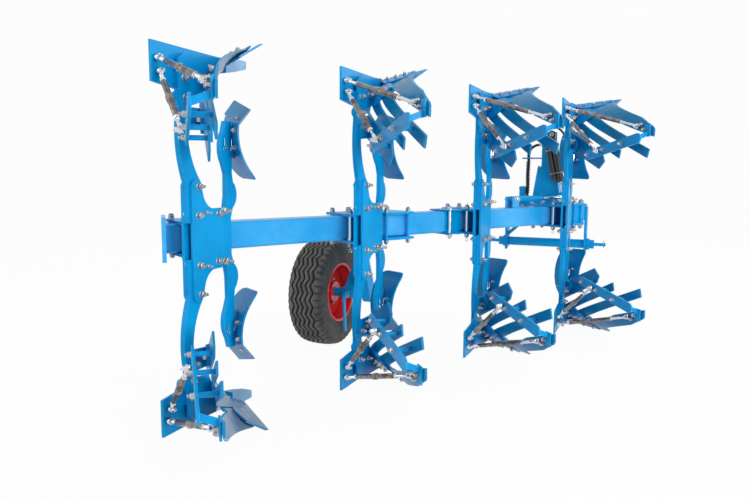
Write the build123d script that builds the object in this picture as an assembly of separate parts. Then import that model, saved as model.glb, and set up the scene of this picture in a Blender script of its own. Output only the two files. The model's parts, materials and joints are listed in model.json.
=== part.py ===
from build123d import *
import math
import os

# Mounted reversible plough with four furrow pairs, in millimetres.
# +X is the way of travel, +Y is to the left and +Z is up.  A furrow pair is a lower
# body that turns the soil to the right, and its mirror image above the main beam.
# Everything behind the headstock turns half a turn about the turnover axis.

# ---------------------------------------------------------------- driving dimensions
PAIRS = 4
BODY_PITCH = 900.0        # from one share to the next, along the travel
FURROW = 450.0            # from one share to the next, across the travel
TIP_SPAN = 1741.0         # lower cutting edges to upper cutting edges
AXIS_Z = TIP_SPAN / 2     # height of the beam and of the turnover axis
LAST_X = (PAIRS - 1) * BODY_PITCH      # place of the foremost pair
LAST_Y = -(PAIRS - 1) * FURROW
TURN_Y = LAST_Y + 220                  # turnover axis, across the travel
SEAT = 0.3                # gap left where one piece is seated on another

# main beam, a square tube that runs on the slant past every pair
BEAM = 140.0
BEAM_WALL = 10.0
BEAM_CORNER = 16.0
BEAM_REAR_X = 12.0
BEAM_FRONT_X = LAST_X + 490
BEAM_CROSS_X = 390.0      # where the beam's centre line crosses the first landside
FLANGE = 214.0
FLANGE_T = 20.0
FLANGE_TURN = 22.0        # degrees from square to the beam
FLANGE_PCD = 226.0
FLANGE_HOLE_R = 11.0

# body bracket: two cheeks, which hold the legs, and two clamp plates on the beam
LEG_Y = -27.0             # middle of the legs, across the travel
LEG_T = 25.0
CHEEK_T = 12.0
CHEEK_REAR = -54.0
CHEEK_FAR_REAR = -72.0
CHEEK_MAIN = 166.0        # front of the cheek's full height
CHEEK_FRONT = 245.0       # front of the skimmer clamp
CHEEK_FAR = 100.0         # front of the cheek left of the leg
CHEEK_TONGUE = 285.0      # how far the tongue reaches from the beam's middle
CHEEK_ARCH = 147.0        # crown of the arch beside the tongue
CLAMP_START = 43.0        # clamp plates, along the beam from its rear end
CLAMP_LONG = 200.0
CLAMP_T = 15.0
BOLT_R = 12.0
BOLT_OUT = 30.0           # clamp bolt's centre to the beam's face
LEG_BOLT_OUT = 116.0      # leg's pivot bolt, from the beam's middle
SHEAR_BOLT_OUT = 252.0    # leg's shear bolt, from the beam's middle
LEG_BOLT_X = -10.0

# mouldboard's surface: a flat toe, an arc and a wall, along a level line that stands
# at WALL_ANGLE to the travel
WALL_ANGLE = 40.5
WALL_X = 454.0            # foot of the toe at the landside
TOE_RISE = 30.0
TOE_WIDTH = 110.0
BOARD_R = 250.0
BOARD_T = 10.0            # share and slats alike
FROG_T = 14.0

# share: a flat blade whose cutting edge stands at EDGE_ANGLE to the travel
EDGE_ANGLE = 50.0
EDGE_X = 356.0            # cutting edge at the landside
SHARE_RISE = 32.75
SHARE_LONG = 515.0        # cutting edge
SHARE_END = 130.0         # width at the wing
CHISEL_NOSE = 409.0       # how far the point reaches ahead
CHISEL_W = 58.0
CHISEL_TOP = 65.0

# landside and its heel
HEEL_X = -247.0
LANDSIDE_T = 12.0
LANDSIDE_H = 172.0

# depth wheel
TYRE_R = 369.0
TYRE_W = 244.0
RIM_R = 200.0
RIM_W = 215.0
WHEEL_PIVOT_X = BODY_PITCH + 410
WHEEL_PIVOT_OUT = 222.0   # pivot to the beam's centre line, across the travel
WHEEL_X = WHEEL_PIVOT_X + 230
WHEEL_OUT = 320.0         # wheel's middle to the pivot, across the travel
WHEEL_CLAMP = 230.0       # length of the clamp on the beam
ARM_T = 60.0
ARM_W = 90.0

# headstock
MAST_REAR = LAST_X + 660
MAST_T = 120.0
MAST_TOP_Z = 1264.0
MAST_BASE_W = 250.0
MAST_TOP_W = 154.0
EAR_T = 14.0
EAR_GAP = 66.0            # between the ears' inner faces
HITCH_X = MAST_REAR + 75
HITCH_Z = 590.0
HITCH_SPAN = 825.0        # between the shoulders of the lower hitch pins
HITCH_PIN_R = 14.0
HITCH_PIN_L = 95.0
HITCH_TUBE_R = 38.0
TOP_LINK_Z = 1240.0
TOP_PIN_R = 12.9
SHAFT_R = 60.0
CYL_X = MAST_REAR - 60
CYL_TOP_Z = 1530.0
CYL_TOP_DY = -44.0
CYL_BARREL = 410.0        # upper pivot to the barrel's lower end
CRANK_DY = -156.0
CRANK_DZ = 136.0
BARREL_R = 30.0
ROD_R = 16.0
SIDE_TUBE_R = 24.0        # second tube beside the barrel
HOSE_R = 11.0             # supply hoses
LOOP_R = 9.0              # short hose on the cylinder

SLANT = math.atan2(FURROW, BODY_PITCH)
BEAM_LONG = Vector(math.cos(SLANT), -math.sin(SLANT), 0)
BEAM_SIDE = Vector(math.sin(SLANT), math.cos(SLANT), 0)
THETA = math.radians(WALL_ANGLE)
RISE = math.radians(TOE_RISE)
ALONG = Vector(-math.cos(THETA), -math.sin(THETA), 0)
BACK = Vector(-math.sin(THETA), math.cos(THETA), 0)
WALL_N = TOE_WIDTH * math.cos(RISE) + BOARD_R * (1 - math.sin(RISE))
WALL_Z = TOE_WIDTH * math.sin(RISE) + BOARD_R * math.cos(RISE)
MIRROR = Plane(origin=(0, 0, AXIS_Z), z_dir=(0, 0, 1))
LEG_RIGHT = LEG_Y - LEG_T / 2
LEG_LEFT = LEG_Y + LEG_T / 2


# ---------------------------------------------------------------- helpers
def beam_y(x):
    """Across-travel place of the beam's centre line at a place along the travel."""
    return -(x - BEAM_CROSS_X) * math.tan(SLANT)


WHEEL_PIVOT_Y = beam_y(WHEEL_PIVOT_X) + WHEEL_PIVOT_OUT
WHEEL_Y = WHEEL_PIVOT_Y + WHEEL_OUT


def beam_plane(x):
    """Plane on the beam's centre line at x: its x runs forward along the beam, z is up."""
    return Plane(origin=(x, beam_y(x), AXIS_Z), x_dir=BEAM_LONG, z_dir=(0, 0, 1))


def outline(*edges):
    """Flat face bounded by a closed chain of edges."""
    return make_face(Wire(edges))


def polygon(points):
    """Flat face with straight sides."""
    return make_face(Polyline(points, close=True))


def side_plate(face, right, thick):
    """Upright plate along the travel, from a face drawn in x and z, standing left of right."""
    plane = Plane(origin=(0, right, 0), x_dir=(1, 0, 0), z_dir=(0, -1, 0))
    return extrude(plane * face, amount=-thick)


def rod_between(start, end, radius):
    """Round bar from one point to another."""
    start = Vector(*start)
    end = Vector(*end)
    return Plane(origin=start, z_dir=end - start) * Cylinder(
        radius, (end - start).length, align=(Align.CENTER, Align.CENTER, Align.MIN))


def hose(points, radius):
    """Round hose along a route, with each corner rounded as far as its two runs allow."""
    radii = []
    for before, corner, after in zip(points, points[1:], points[2:]):
        turn = math.radians((corner - before).get_angle(after - corner))
        run = min((corner - before).length, (after - corner).length)
        radii.append(0.45 * run / math.tan(turn / 2))
    print("hose radii", [round(r) for r in radii])
    path = FilletPolyline(*points, radius=radii)
    return sweep(Plane(origin=path @ 0, z_dir=path % 0) * Circle(radius), path=path)


def place(shape, k):
    """A pair's shape moved from the first pair to pair k."""
    return Pos(k * BODY_PITCH, -k * FURROW, 0) * shape


def both(shape):
    """The lower shape and its mirror image above the beam."""
    return [shape, mirror(shape, about=MIRROR)]


def spread(shapes, k):
    """Solids of one furrow pair, as one compound at pair k."""
    return Compound(children=[place(s, k) for s in shapes])


def solids(shapes):
    """Every solid in a list of shapes."""
    return [s for shape in shapes for s in shape.solids()]


# ---------------------------------------------------------------- working surface
def surface_chain(depth, top):
    """Edges of the working surface's section, depth behind it, up to height top."""
    start = (depth * math.sin(RISE), -depth * math.cos(RISE))
    toe = (TOE_WIDTH * math.cos(RISE) + start[0], TOE_WIDTH * math.sin(RISE) + start[1])
    radius = BOARD_R + depth
    middle = (RISE + math.pi / 2) / 2
    centre = (WALL_N - BOARD_R, WALL_Z)
    bend = (centre[0] + radius * math.sin(middle), centre[1] - radius * math.cos(middle))
    wall = (WALL_N + depth, WALL_Z)
    return [Line(start, toe), ThreePointArc(toe, bend, wall), Line(wall, (wall[0], top))]


SECTION = Plane(origin=(WALL_X, 0, 0), x_dir=BACK, z_dir=-ALONG)
ELEVATION = Plane(origin=(WALL_X, 0, 0), x_dir=ALONG, z_dir=BACK)
BOARD_TOP = 640.0
BOARD_REACH = 1400.0
FAR = 2 * BOARD_REACH     # clear of the body on every side


def surface_shell(near, far):
    """Sheet between two depths behind the working surface, much longer than the body."""
    front = surface_chain(near, BOARD_TOP)
    back = surface_chain(far, BOARD_TOP)
    ends = [Line(front[0] @ 0, back[0] @ 0), Line(front[2] @ 1, back[2] @ 1)]
    face = outline(*front, *back, *ends)
    return extrude(SECTION * face, amount=BOARD_REACH, both=True)


def seen_from_front(points):
    """Prism over an outline drawn in distance along the share and height."""
    return extrude(ELEVATION * polygon(points), amount=600, both=True)


FLOOR_BLOCK = Pos(0, 0, FAR / 2) * Box(2 * FAR, 2 * FAR, FAR)


def behind(depth):
    """Block that fills the room behind the working surface, from depth on."""
    chain = surface_chain(depth, BOARD_TOP)
    start = chain[0] @ 0
    end = chain[2] @ 1
    far = [Line(start, (900, start.Y)), Line((900, start.Y), (900, end.Y)), Line((900, end.Y), end)]
    return extrude(SECTION * outline(*chain, *far), amount=BOARD_REACH, both=True)


# slats: outlines in distance along the wall and height, front end first
SLATS = [
    [(290, 207), (683, 385), (722, 410), (742, 460), (685, 510), (290, 343)],
    [(290, 100), (912, 383), (898, 440), (290, 159)],
    [(290, 10), (1190, 387), (1172, 443), (290, 78)],
    [(425, 61), (597, 133), (610, 116), (860, 185), (925, 215), (1226, 310), (1229, 263),
     (1215, 245), (1084, 177), (755, 77), (600, 28), (425, 28)],
]

SHARE_FACE = Plane(
    origin=(EDGE_X, 0, 0),
    x_dir=(-math.cos(math.radians(EDGE_ANGLE)), -math.sin(math.radians(EDGE_ANGLE)), 0),
    z_dir=(-math.sin(math.radians(EDGE_ANGLE)) * math.sin(math.radians(SHARE_RISE)),
           math.cos(math.radians(EDGE_ANGLE)) * math.sin(math.radians(SHARE_RISE)),
           -math.cos(math.radians(SHARE_RISE))))


def share_outline(grow):
    """Share's outline in its own plane, larger by grow than the share itself."""
    face = polygon([(20, 0), (SHARE_LONG, 0), (SHARE_LONG + 20, SHARE_END),
                    (SHARE_LONG - 85, SHARE_END + 35), (250, SHARE_END + 10), (85, 86)])
    return offset(face, amount=grow, kind=Kind.INTERSECTION) if grow else face


def share_room(under):
    """Room of the share and all above it, down to a depth under its upper face."""
    plane = SHARE_FACE * Pos(0, 0, under)
    return extrude(plane * share_outline(2 * SEAT), amount=-FAR / 2)


def make_slats():
    """The four slats of a lower mouldboard, cut to the share's upper edge."""
    shell = surface_shell(0, BOARD_T) - share_room(BOARD_T + SEAT)
    cut = [shell & seen_from_front(points) for points in SLATS]
    return [max(slat.solids(), key=lambda solid: solid.volume) for slat in cut]


def make_share():
    """Flat share, above the floor and right of the landside."""
    right = Pos(0, LEG_LEFT - SEAT - FAR, 0) * Box(2 * FAR, 2 * FAR, 2 * FAR)
    return extrude(SHARE_FACE * share_outline(0), amount=BOARD_T) & FLOOR_BLOCK & right


def make_chisel():
    """Wedge on the share's landside end that reaches ahead of the cutting edge."""
    right = LEG_LEFT - CHISEL_W
    side = side_plate(polygon([(CHISEL_NOSE + 10, 0), (CHISEL_NOSE - 49, 41),
                               (CHISEL_NOSE - 140, CHISEL_TOP), (195, 80), (195, 0)]),
                      right, CHISEL_W - SEAT)
    nose = CHISEL_NOSE - CHISEL_W
    plan = outline(
        Line((0, LEG_LEFT), (CHISEL_NOSE - 4, LEG_LEFT)),
        ThreePointArc((CHISEL_NOSE - 4, LEG_LEFT), (CHISEL_NOSE - 15, LEG_LEFT - 34),
                      (nose, right)),
        Line((nose, right), (0, right)),
        Line((0, right), (0, LEG_LEFT)))
    above = extrude(SHARE_FACE * Pos(0, 0, -SEAT) * Rectangle(FAR, FAR), amount=-FAR / 2)
    return side & extrude(plan, amount=CHISEL_TOP * 2) & above


FROG_LOW = [(285, 40), (430, 60), (560, 100), (520, 140), (400, 190), (285, 150)]
FROG_HIGH = [(285, 225), (390, 270), (430, 330), (400, 380), (285, 340)]
FROG_EARS = [(-112.0, 273.0), (-163.0, 231.0)]     # x and z
EAR_R = 20.0


def make_frog():
    """Pads behind the slats and the share, with the webs that the leg carries."""
    sheet = surface_shell(BOARD_T + SEAT, BOARD_T + SEAT + FROG_T)
    low = sheet & seen_from_front(FROG_LOW)
    high = sheet & seen_from_front(FROG_HIGH)
    right = LEG_RIGHT - SEAT - CHEEK_T
    web_low = polygon([(-118, 60), (-60, 20), (290, 5), (290, 60), (150, 205), (-60, 230),
                       (-118, 285), (-158, 212), (-118, 190)])
    web_high = polygon([(-90, 262), (150, 262), (150, 345), (-60, 365), (-90, 330)])
    for x, z in FROG_EARS:
        web_low = web_low + Pos(x, z) * Circle(EAR_R) - Pos(x, z) * Circle(EAR_R / 3)
    web_low = side_plate(web_low, right, CHEEK_T)
    web_high = side_plate(web_high, right, CHEEK_T)
    room = behind(BOARD_T + SEAT + FROG_T / 2)
    seat = extrude(SHARE_FACE * Pos(0, 0, BOARD_T + SEAT) * polygon(
        [(60, 30), (450, 30), (450, 110), (250, 125), (100, 75)]), amount=FROG_T)
    seat &= behind(BOARD_T + SEAT)
    low = (low + (web_low & room) + seat) - share_room(BOARD_T + SEAT)
    low &= FLOOR_BLOCK
    return [low, high + (web_high & room)]


def make_landside():
    """Landside plate left of the leg, from the heel to the back of the share."""
    face = polygon([(HEEL_X, 0), (325, 0), (325, 25), (200, 60), (40, LANDSIDE_H + 20),
                    (-60, LANDSIDE_H + 20), (HEEL_X, LANDSIDE_H)])
    plate = side_plate(face, LEG_LEFT + SEAT, LANDSIDE_T)
    return plate & behind(BOARD_T + SEAT + FROG_T + SEAT)


def make_leg():
    """Lower leg: a plate that bows rearward between the bracket and the frog."""
    top = AXIS_Z - BEAM / 2 - CLAMP_T - SEAT
    face = outline(
        Line((CHEEK_FAR_REAR, top), (42, top)),
        Line((42, top), (30, 600)),
        ThreePointArc((30, 600), (-53, 405), (-36, 235)),
        Line((-36, 235), (-20, 110)),
        Line((-20, 110), (-112, 110)),
        Line((-112, 110), (-107, 267)),
        ThreePointArc((-107, 267), (-114, 450), (-68, 620)),
        Line((-68, 620), (CHEEK_FAR_REAR, top)))
    return side_plate(face, LEG_RIGHT, LEG_T)


# ---------------------------------------------------------------- stays and brace
BRACE_TOP = Vector(-251, -192, 415)
BRACE_END = BRACE_TOP + ALONG * 515 + Vector(0, 0, -95)
BRACE_T = 12.0
BRACE_W = 66.0
FOOT_Z = 252.0            # middle of the brace's pad on the bottom slat
BRACE_SPACERS = (0.03, 0.36, 0.71)    # places along the brace, as shares of its length
SPACER_R = 13.0
EYE_R = 16.0
STAY_ROD_R = 9.0
STAY_SLEEVE_R = 17.0
STAY_REARS = [(-214.0, 127.0), (-222.0, 72.0)]     # x and z of the landside ends
STAY_BRACE = 0.27         # upper stay's front end, as a share of the brace
STAY_SLAT = (1088.0, 235.0)                        # u and z of the lower stay's front end
ADJUST_REAR = BODY_PITCH * 2.7    # link on top of the beam, its rear end along the travel
ADJUST_LONG = (LAST_X + 362 - ADJUST_REAR) / math.cos(SLANT)
ADJUST_Z = AXIS_Z + BEAM / 2 + 62
ADJUST_EYE_R = 24.0
LUG_T = 14.0


def wall_point(u, depth, z):
    """Point behind the upright part of the working surface."""
    return Vector(WALL_X, 0, z) + ALONG * u + BACK * (WALL_N + depth)


def room_behind_wall(point):
    """Level distance from a point to the backs of the slats."""
    level = Vector(point.X - WALL_X, point.Y, 0)
    return level.dot(BACK) - WALL_N - BOARD_T - SEAT


def make_brace():
    """Flat bar across the slats' backs, with round spacers and a foot on the bottom slat."""
    run = BRACE_END - BRACE_TOP
    plane = Plane(origin=BRACE_TOP, x_dir=run, z_dir=BACK)
    bar = plane * Pos(run.length / 2, 0, 0) * Box(run.length + 40, BRACE_W, BRACE_T)
    for share in BRACE_SPACERS:
        point = BRACE_TOP + run * share
        bar += rod_between(point, point - BACK * room_behind_wall(point), SPACER_R)
    room = room_behind_wall(BRACE_END)
    foot = Plane(origin=BRACE_END, x_dir=-BACK, z_dir=ALONG)
    drop = BRACE_END.Z - FOOT_Z
    bar += foot * Pos(room / 2, -drop / 2, 0) * Box(room, BRACE_W - 10 + drop, BRACE_T)
    bar += foot * Pos(room - BRACE_T / 2, -drop, -30) * Box(BRACE_T, 48, 60 + BRACE_T)
    return bar


def turnbuckle(start, end, eye_r):
    """Stay with an eye at each end and a threaded sleeve between."""
    run = end - start
    stay = rod_between(start, end, STAY_ROD_R)
    stay += rod_between(start + run * 0.25, start + run * 0.72, STAY_SLEEVE_R)
    return stay + Pos(start) * Sphere(eye_r) + Pos(end) * Sphere(eye_r)


def make_stays():
    """Two stays, one to the brace and one to the bottom slat."""
    rear_y = LEG_LEFT - EYE_R
    on_brace = BRACE_TOP + (BRACE_END - BRACE_TOP) * STAY_BRACE
    fronts = [on_brace + BACK * (BRACE_T / 2 + EYE_R + SEAT),
              wall_point(STAY_SLAT[0], BOARD_T + EYE_R + SEAT, STAY_SLAT[1])]
    return [turnbuckle(Vector(x, rear_y, z), end, EYE_R)
            for (x, z), end in zip(STAY_REARS, fronts)]


def adjuster_ends():
    """Ends of the link that sets the beam against the turnover carrier."""
    rear = Vector(ADJUST_REAR, beam_y(ADJUST_REAR), ADJUST_Z)
    return rear, rear + BEAM_LONG * ADJUST_LONG


def adjuster_lugs(point):
    """Pair of upright ears on top of the beam, either side of a link's eye."""
    gap = ADJUST_EYE_R + SEAT
    plane = Plane(origin=point, x_dir=BEAM_LONG, z_dir=(0, 0, 1))
    foot = ADJUST_Z - AXIS_Z - BEAM / 2
    ears = []
    for side in (1, -1):
        ear = plane * Pos(0, side * (gap + LUG_T / 2), (20 - foot) / 2) * Box(70, LUG_T, foot + 20)
        ears.append(ear)
    return ears


# ---------------------------------------------------------------- skimmers
SKIM_ANGLE = math.radians(52.0)
SKIM_R = 317.0
SKIM_SAG = 66.0           # depth of the board's hollow
SKIM_MID_Z = 365.0
SKIM_T = 8.0
SKIM_WING = (266.0, -168.0)
SKIM_LONG = 262.0         # wing to point
SKIM_ALONG = Vector(-math.cos(SKIM_ANGLE), -math.sin(SKIM_ANGLE), 0)
SKIM_BACK = Vector(-math.sin(SKIM_ANGLE), math.cos(SKIM_ANGLE), 0)
SKIM_ARM_Z = 302.0        # foot of the arm


def make_skimmer_arm():
    """Lower skimmer arm, bowed forward below the bracket, with an ear at the clamp bolts."""
    top = AXIS_Z - BEAM / 2 - CLAMP_T - SEAT
    face = outline(
        Line((200, top), (CHEEK_FRONT + 10, top)),
        Line((CHEEK_FRONT + 10, top), (CHEEK_FRONT + 30, 730)),
        ThreePointArc((CHEEK_FRONT + 30, 730), (310, 668), (281, 600)),
        Line((281, 600), (273, 560)),
        Line((273, 560), (275, SKIM_ARM_Z)),
        Line((275, SKIM_ARM_Z), (228, SKIM_ARM_Z)),
        Line((228, SKIM_ARM_Z), (210, 356)),
        ThreePointArc((210, 356), (185, 432), (206, 508)),
        Line((206, 508), (226, 560)),
        Line((226, 560), (224, 667)),
        Line((224, 667), (200, top)))
    return side_plate(face, LEG_RIGHT, LEG_T)


def make_skimmer():
    """Small hollow board with a flat share below, right and ahead of the skimmer arm."""
    wing = Vector(*SKIM_WING, 0)
    section = Plane(origin=wing, x_dir=SKIM_BACK, z_dir=-SKIM_ALONG)
    elevation = Plane(origin=wing, x_dir=-SKIM_ALONG, z_dir=-SKIM_BACK)
    centre = Pos(SKIM_SAG - SKIM_R, SKIM_MID_Z)
    ring = centre * (Circle(SKIM_R + SKIM_T) - Circle(SKIM_R))
    shell = extrude(section * ring, amount=FAR, both=True)
    shell &= extrude(section * Pos(SKIM_SAG, SKIM_MID_Z) * Rectangle(SKIM_R, 2 * SKIM_R),
                     amount=FAR, both=True)
    edge = wing + SKIM_BACK * 4 + Vector(0, 0, 252)
    joint = wing + SKIM_BACK * 61 + Vector(0, 0, 325)
    point = wing - SKIM_ALONG * SKIM_LONG + SKIM_BACK * 2 + Vector(0, 0, 183)
    up = (joint - edge).normalized()
    normal = up.cross(point - edge).normalized()
    if normal.Z > 0:
        normal = -normal
    blade = Plane(origin=joint, x_dir=point - edge, z_dir=normal)
    corners = [blade.to_local_coords(p) for p in (point, edge)]
    share = extrude(blade * polygon([(0, 0), (SKIM_LONG, 0)] + [(c.X, c.Y) for c in corners]),
                    amount=SKIM_T)
    below = math.copysign(FAR, corners[0].Y)
    seam = -math.copysign(SEAT, below)
    trim = extrude(blade * polygon([(-FAR, seam), (FAR, seam), (FAR, below), (-FAR, below)]),
                   amount=FAR, both=True)
    round_top = outline(
        Line((0, 220), (0, 545)),
        ThreePointArc((0, 545), (13, 577), (45, 588)),
        Line((45, 588), (SKIM_LONG - 70, 583)),
        ThreePointArc((SKIM_LONG - 70, 583), (SKIM_LONG - 22, 560), (SKIM_LONG, 510)),
        Line((SKIM_LONG, 510), (SKIM_LONG, 220)),
        Line((SKIM_LONG, 220), (0, 220)))
    board = shell & extrude(elevation * round_top, amount=FAR, both=True)
    board -= trim
    block = side_plate(polygon([(250, 345), (400, 345), (400, 480), (250, 480)]), LEG_RIGHT, LEG_T)
    arm_front = 275 + SEAT
    arm_room = side_plate(polygon([(0, 0), (arm_front, 0), (arm_front, 600), (0, 600)]),
                          LEG_RIGHT - 1, LEG_T + 2)
    hollow = extrude(section * centre * Circle(SKIM_R + SKIM_T / 2), amount=FAR, both=True)
    return [board + (block - hollow) - arm_room, share]


# ---------------------------------------------------------------- bracket
def make_cheek(rear, front, right):
    """Bracket cheek with a tongue along each leg."""
    upper = [
        Line((rear, 0), (rear, CHEEK_TONGUE - 31)),
        ThreePointArc((rear, CHEEK_TONGUE - 31), (-19, CHEEK_TONGUE), (16, CHEEK_TONGUE - 31)),
        Line((16, CHEEK_TONGUE - 31), (29, CHEEK_ARCH + 65)),
        ThreePointArc((29, CHEEK_ARCH + 65), (51, CHEEK_ARCH + 26), (94, CHEEK_ARCH)),
        Line((94, CHEEK_ARCH), (front, CHEEK_ARCH)),
        Line((front, CHEEK_ARCH), (front, 0)),
        Line((front, 0), (rear, 0)),
    ]
    half = outline(*upper)
    face = Pos(0, AXIS_Z) * (half + mirror(half, about=Plane.XZ))
    return side_plate(face, right, CHEEK_T)


def beam_point(along, left):
    """Place in plan, along the beam from its rear end and left of its centre line."""
    origin = Vector(BEAM_REAR_X, beam_y(BEAM_REAR_X), 0)
    return origin + BEAM_LONG * along + BEAM_SIDE * left


def make_bracket():
    """Cheeks, clamp plates and clamp bolts of one pair's bracket."""
    near = make_cheek(CHEEK_REAR, CHEEK_MAIN, LEG_RIGHT - CHEEK_T)
    far = make_cheek(CHEEK_FAR_REAR, CHEEK_FAR, LEG_LEFT)
    lip_face = Pos((CHEEK_MAIN + CHEEK_FRONT) / 2, AXIS_Z) * Rectangle(
        CHEEK_FRONT - CHEEK_MAIN, 2 * CHEEK_ARCH - 30)
    lip = side_plate(lip_face, LEG_RIGHT - CHEEK_T + 3, CHEEK_T - 3)
    edge = BEAM / 2 + 2 * BOLT_OUT
    front = CLAMP_START + CLAMP_LONG
    corners = [beam_point(CLAMP_START, -edge), beam_point(CLAMP_START + 26, edge),
               beam_point(front, edge)]
    plan = [(CHEEK_REAR, LEG_LEFT)] + [(c.X, c.Y) for c in corners]
    plan += [(CHEEK_FRONT, LEG_RIGHT), (CHEEK_FAR, LEG_RIGHT), (CHEEK_FAR, LEG_LEFT)]
    body = near + far + lip
    for side in (1, -1):
        middle = AXIS_Z + side * (BEAM + CLAMP_T) / 2
        body += Pos(0, 0, middle - CLAMP_T / 2) * extrude(polygon(plan), amount=CLAMP_T)
    reach = BEAM / 2 + BOLT_OUT
    for along, left in ((BOLT_OUT, -reach), (BOLT_OUT + 20, reach), (CLAMP_LONG - BOLT_OUT, reach)):
        spot = beam_point(CLAMP_START + along, left)
        body += Pos(spot.X, spot.Y, AXIS_Z) * Cylinder(BOLT_R, BEAM + 2 * CLAMP_T + 50)
    return body


# ---------------------------------------------------------------- main beam
def make_beam():
    """Square tube with a drilled flange at its rear end and a cap at its front end."""
    length = (BEAM_FRONT_X - BEAM_REAR_X) / math.cos(SLANT)
    plane = beam_plane(BEAM_REAR_X)
    across = Plane(origin=plane.origin, x_dir=BEAM_SIDE, z_dir=BEAM_LONG)
    tube = RectangleRounded(BEAM, BEAM, BEAM_CORNER)
    hollow = RectangleRounded(BEAM - 2 * BEAM_WALL, BEAM - 2 * BEAM_WALL,
                              BEAM_CORNER - BEAM_WALL)
    beam = extrude(across * Pos(0, 0, -BEAM) * (tube - hollow), amount=length + BEAM)
    flange_plane = across * Rot(0, -FLANGE_TURN, 0)
    beam -= extrude(flange_plane * Rectangle(4 * BEAM, 4 * BEAM), amount=-4 * BEAM)
    holes = PolarLocations(FLANGE_PCD / 2, 4, 45) * Circle(FLANGE_HOLE_R)
    beam += extrude(flange_plane * (Rectangle(FLANGE, FLANGE) - holes), amount=FLANGE_T)
    cap = Plane(origin=plane.origin + BEAM_LONG * length, x_dir=BEAM_SIDE, z_dir=BEAM_LONG)
    beam += extrude(cap * Rectangle(BEAM + 10, BEAM + 10), amount=12)
    for ear in adjuster_lugs(adjuster_ends()[0]):
        beam += ear
    return beam


# ---------------------------------------------------------------- turnover
CARRIER_REAR = LAST_X + 322    # along the travel, on the beam's centre line
CARRIER_LONG = 160.0
CARRIER_T = 20.0
CARRIER_LEFT = 90.0       # past the turnover axis
CRANK_T = 24.0
CRANK_X = CYL_X - BARREL_R - CRANK_T - 4
SHAFT_FRONT = MAST_REAR + MAST_T + 10


def make_carrier():
    """Welded carrier that clamps the beam's front end to the turnover shaft."""
    edge = BEAM / 2 + 32
    cut = (CARRIER_REAR - BEAM_REAR_X) / math.cos(SLANT)
    rear_right = beam_point(cut, -edge)
    front_right = beam_point(cut + CARRIER_LONG, -edge)
    left = TURN_Y + CARRIER_LEFT
    front_x = CARRIER_REAR + CARRIER_LONG
    plan = [(rear_right.X, rear_right.Y), (front_right.X, front_right.Y),
            (front_x, TURN_Y - 150), (front_x, left), (CARRIER_REAR - 20, left),
            (CARRIER_REAR - 20, TURN_Y - 60)]
    base = AXIS_Z + BEAM / 2 + SEAT
    lower = AXIS_Z - BEAM / 2 - SEAT - CARRIER_T
    carrier = Pos(0, 0, base) * extrude(polygon(plan), amount=CARRIER_T)
    carrier += Pos(0, 0, lower) * extrude(polygon(plan), amount=CARRIER_T)
    long = front_x - CARRIER_REAR + 20
    block = Pos(CARRIER_REAR - 20 + long / 2, TURN_Y + 10, AXIS_Z) * Box(
        long, 160, BEAM + 2 * SEAT)
    beam_room = Plane(origin=(CARRIER_REAR, beam_y(CARRIER_REAR), AXIS_Z), x_dir=BEAM_LONG,
                      z_dir=(0, 0, 1)) * Box(900, BEAM + 2 * SEAT, BEAM + 2 * SEAT)
    carrier += block - beam_room
    for along in (30, CARRIER_LONG - 30):
        for side in (-1, 1):
            spot = beam_point(cut + along, side * (BEAM / 2 + 17))
            if side < 0:
                carrier += Pos(spot.X, spot.Y, AXIS_Z) * Cylinder(BOLT_R, BEAM + 2 * CARRIER_T + 50)
    cheek = beam_plane(CARRIER_REAR) * Pos(
        CARRIER_LONG / 2, -BEAM / 2 - SEAT - CHEEK_T / 2, 0)
    carrier += cheek * Box(CARRIER_LONG, CHEEK_T, BEAM + 2 * SEAT)
    for ear in adjuster_lugs(adjuster_ends()[1]):
        carrier += ear - Pos(0, 0, base - FAR / 2) * Box(2 * FAR, 2 * FAR, FAR)
    bore = Pos(CARRIER_REAR, TURN_Y, AXIS_Z) * Rot(0, 90, 0) * Cylinder(SHAFT_R + SEAT, 600)
    return carrier - bore


def make_turn_shaft():
    """Turnover shaft with the crank that the cylinder turns."""
    rear = CARRIER_REAR - 28
    shaft = Pos(rear, TURN_Y, AXIS_Z) * Rot(0, 90, 0) * Cylinder(
        SHAFT_R, SHAFT_FRONT - rear, align=(Align.CENTER, Align.CENTER, Align.MIN))
    radius = math.hypot(CRANK_DY, CRANK_DZ)
    angle = math.degrees(math.atan2(CRANK_DZ, CRANK_DY))
    plane = Plane(origin=(CRANK_X, TURN_Y, AXIS_Z), x_dir=(0, 1, 0), z_dir=(1, 0, 0))
    hub = Circle(SHAFT_R + 22)
    eye = Rot(0, 0, angle) * Pos(radius, 0) * Circle(40)
    bar = Rot(0, 0, angle) * Pos(radius / 2, 0) * Rectangle(radius, 80)
    return shaft + extrude(plane * (hub + eye + bar), amount=CRANK_T)


# ---------------------------------------------------------------- turnover cylinder
def cylinder_line():
    """Rest places of the cylinder's upper pivot and of its rod's eye."""
    top = Vector(CYL_X, TURN_Y + CYL_TOP_DY, CYL_TOP_Z)
    eye = Vector(CYL_X, TURN_Y + CRANK_DY, AXIS_Z + CRANK_DZ)
    return top, eye


def side_tube_line():
    """Ends of the second tube, left of the barrel and parallel to it."""
    top, eye = cylinder_line()
    run = (eye - top).normalized()
    out = run.cross(Vector(1, 0, 0)).normalized() * (BARREL_R + SIDE_TUBE_R - 2)
    if out.Y < 0:
        out = -out
    return top + run * 85 + out, top + run * (CYL_BARREL - 25) + out


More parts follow.
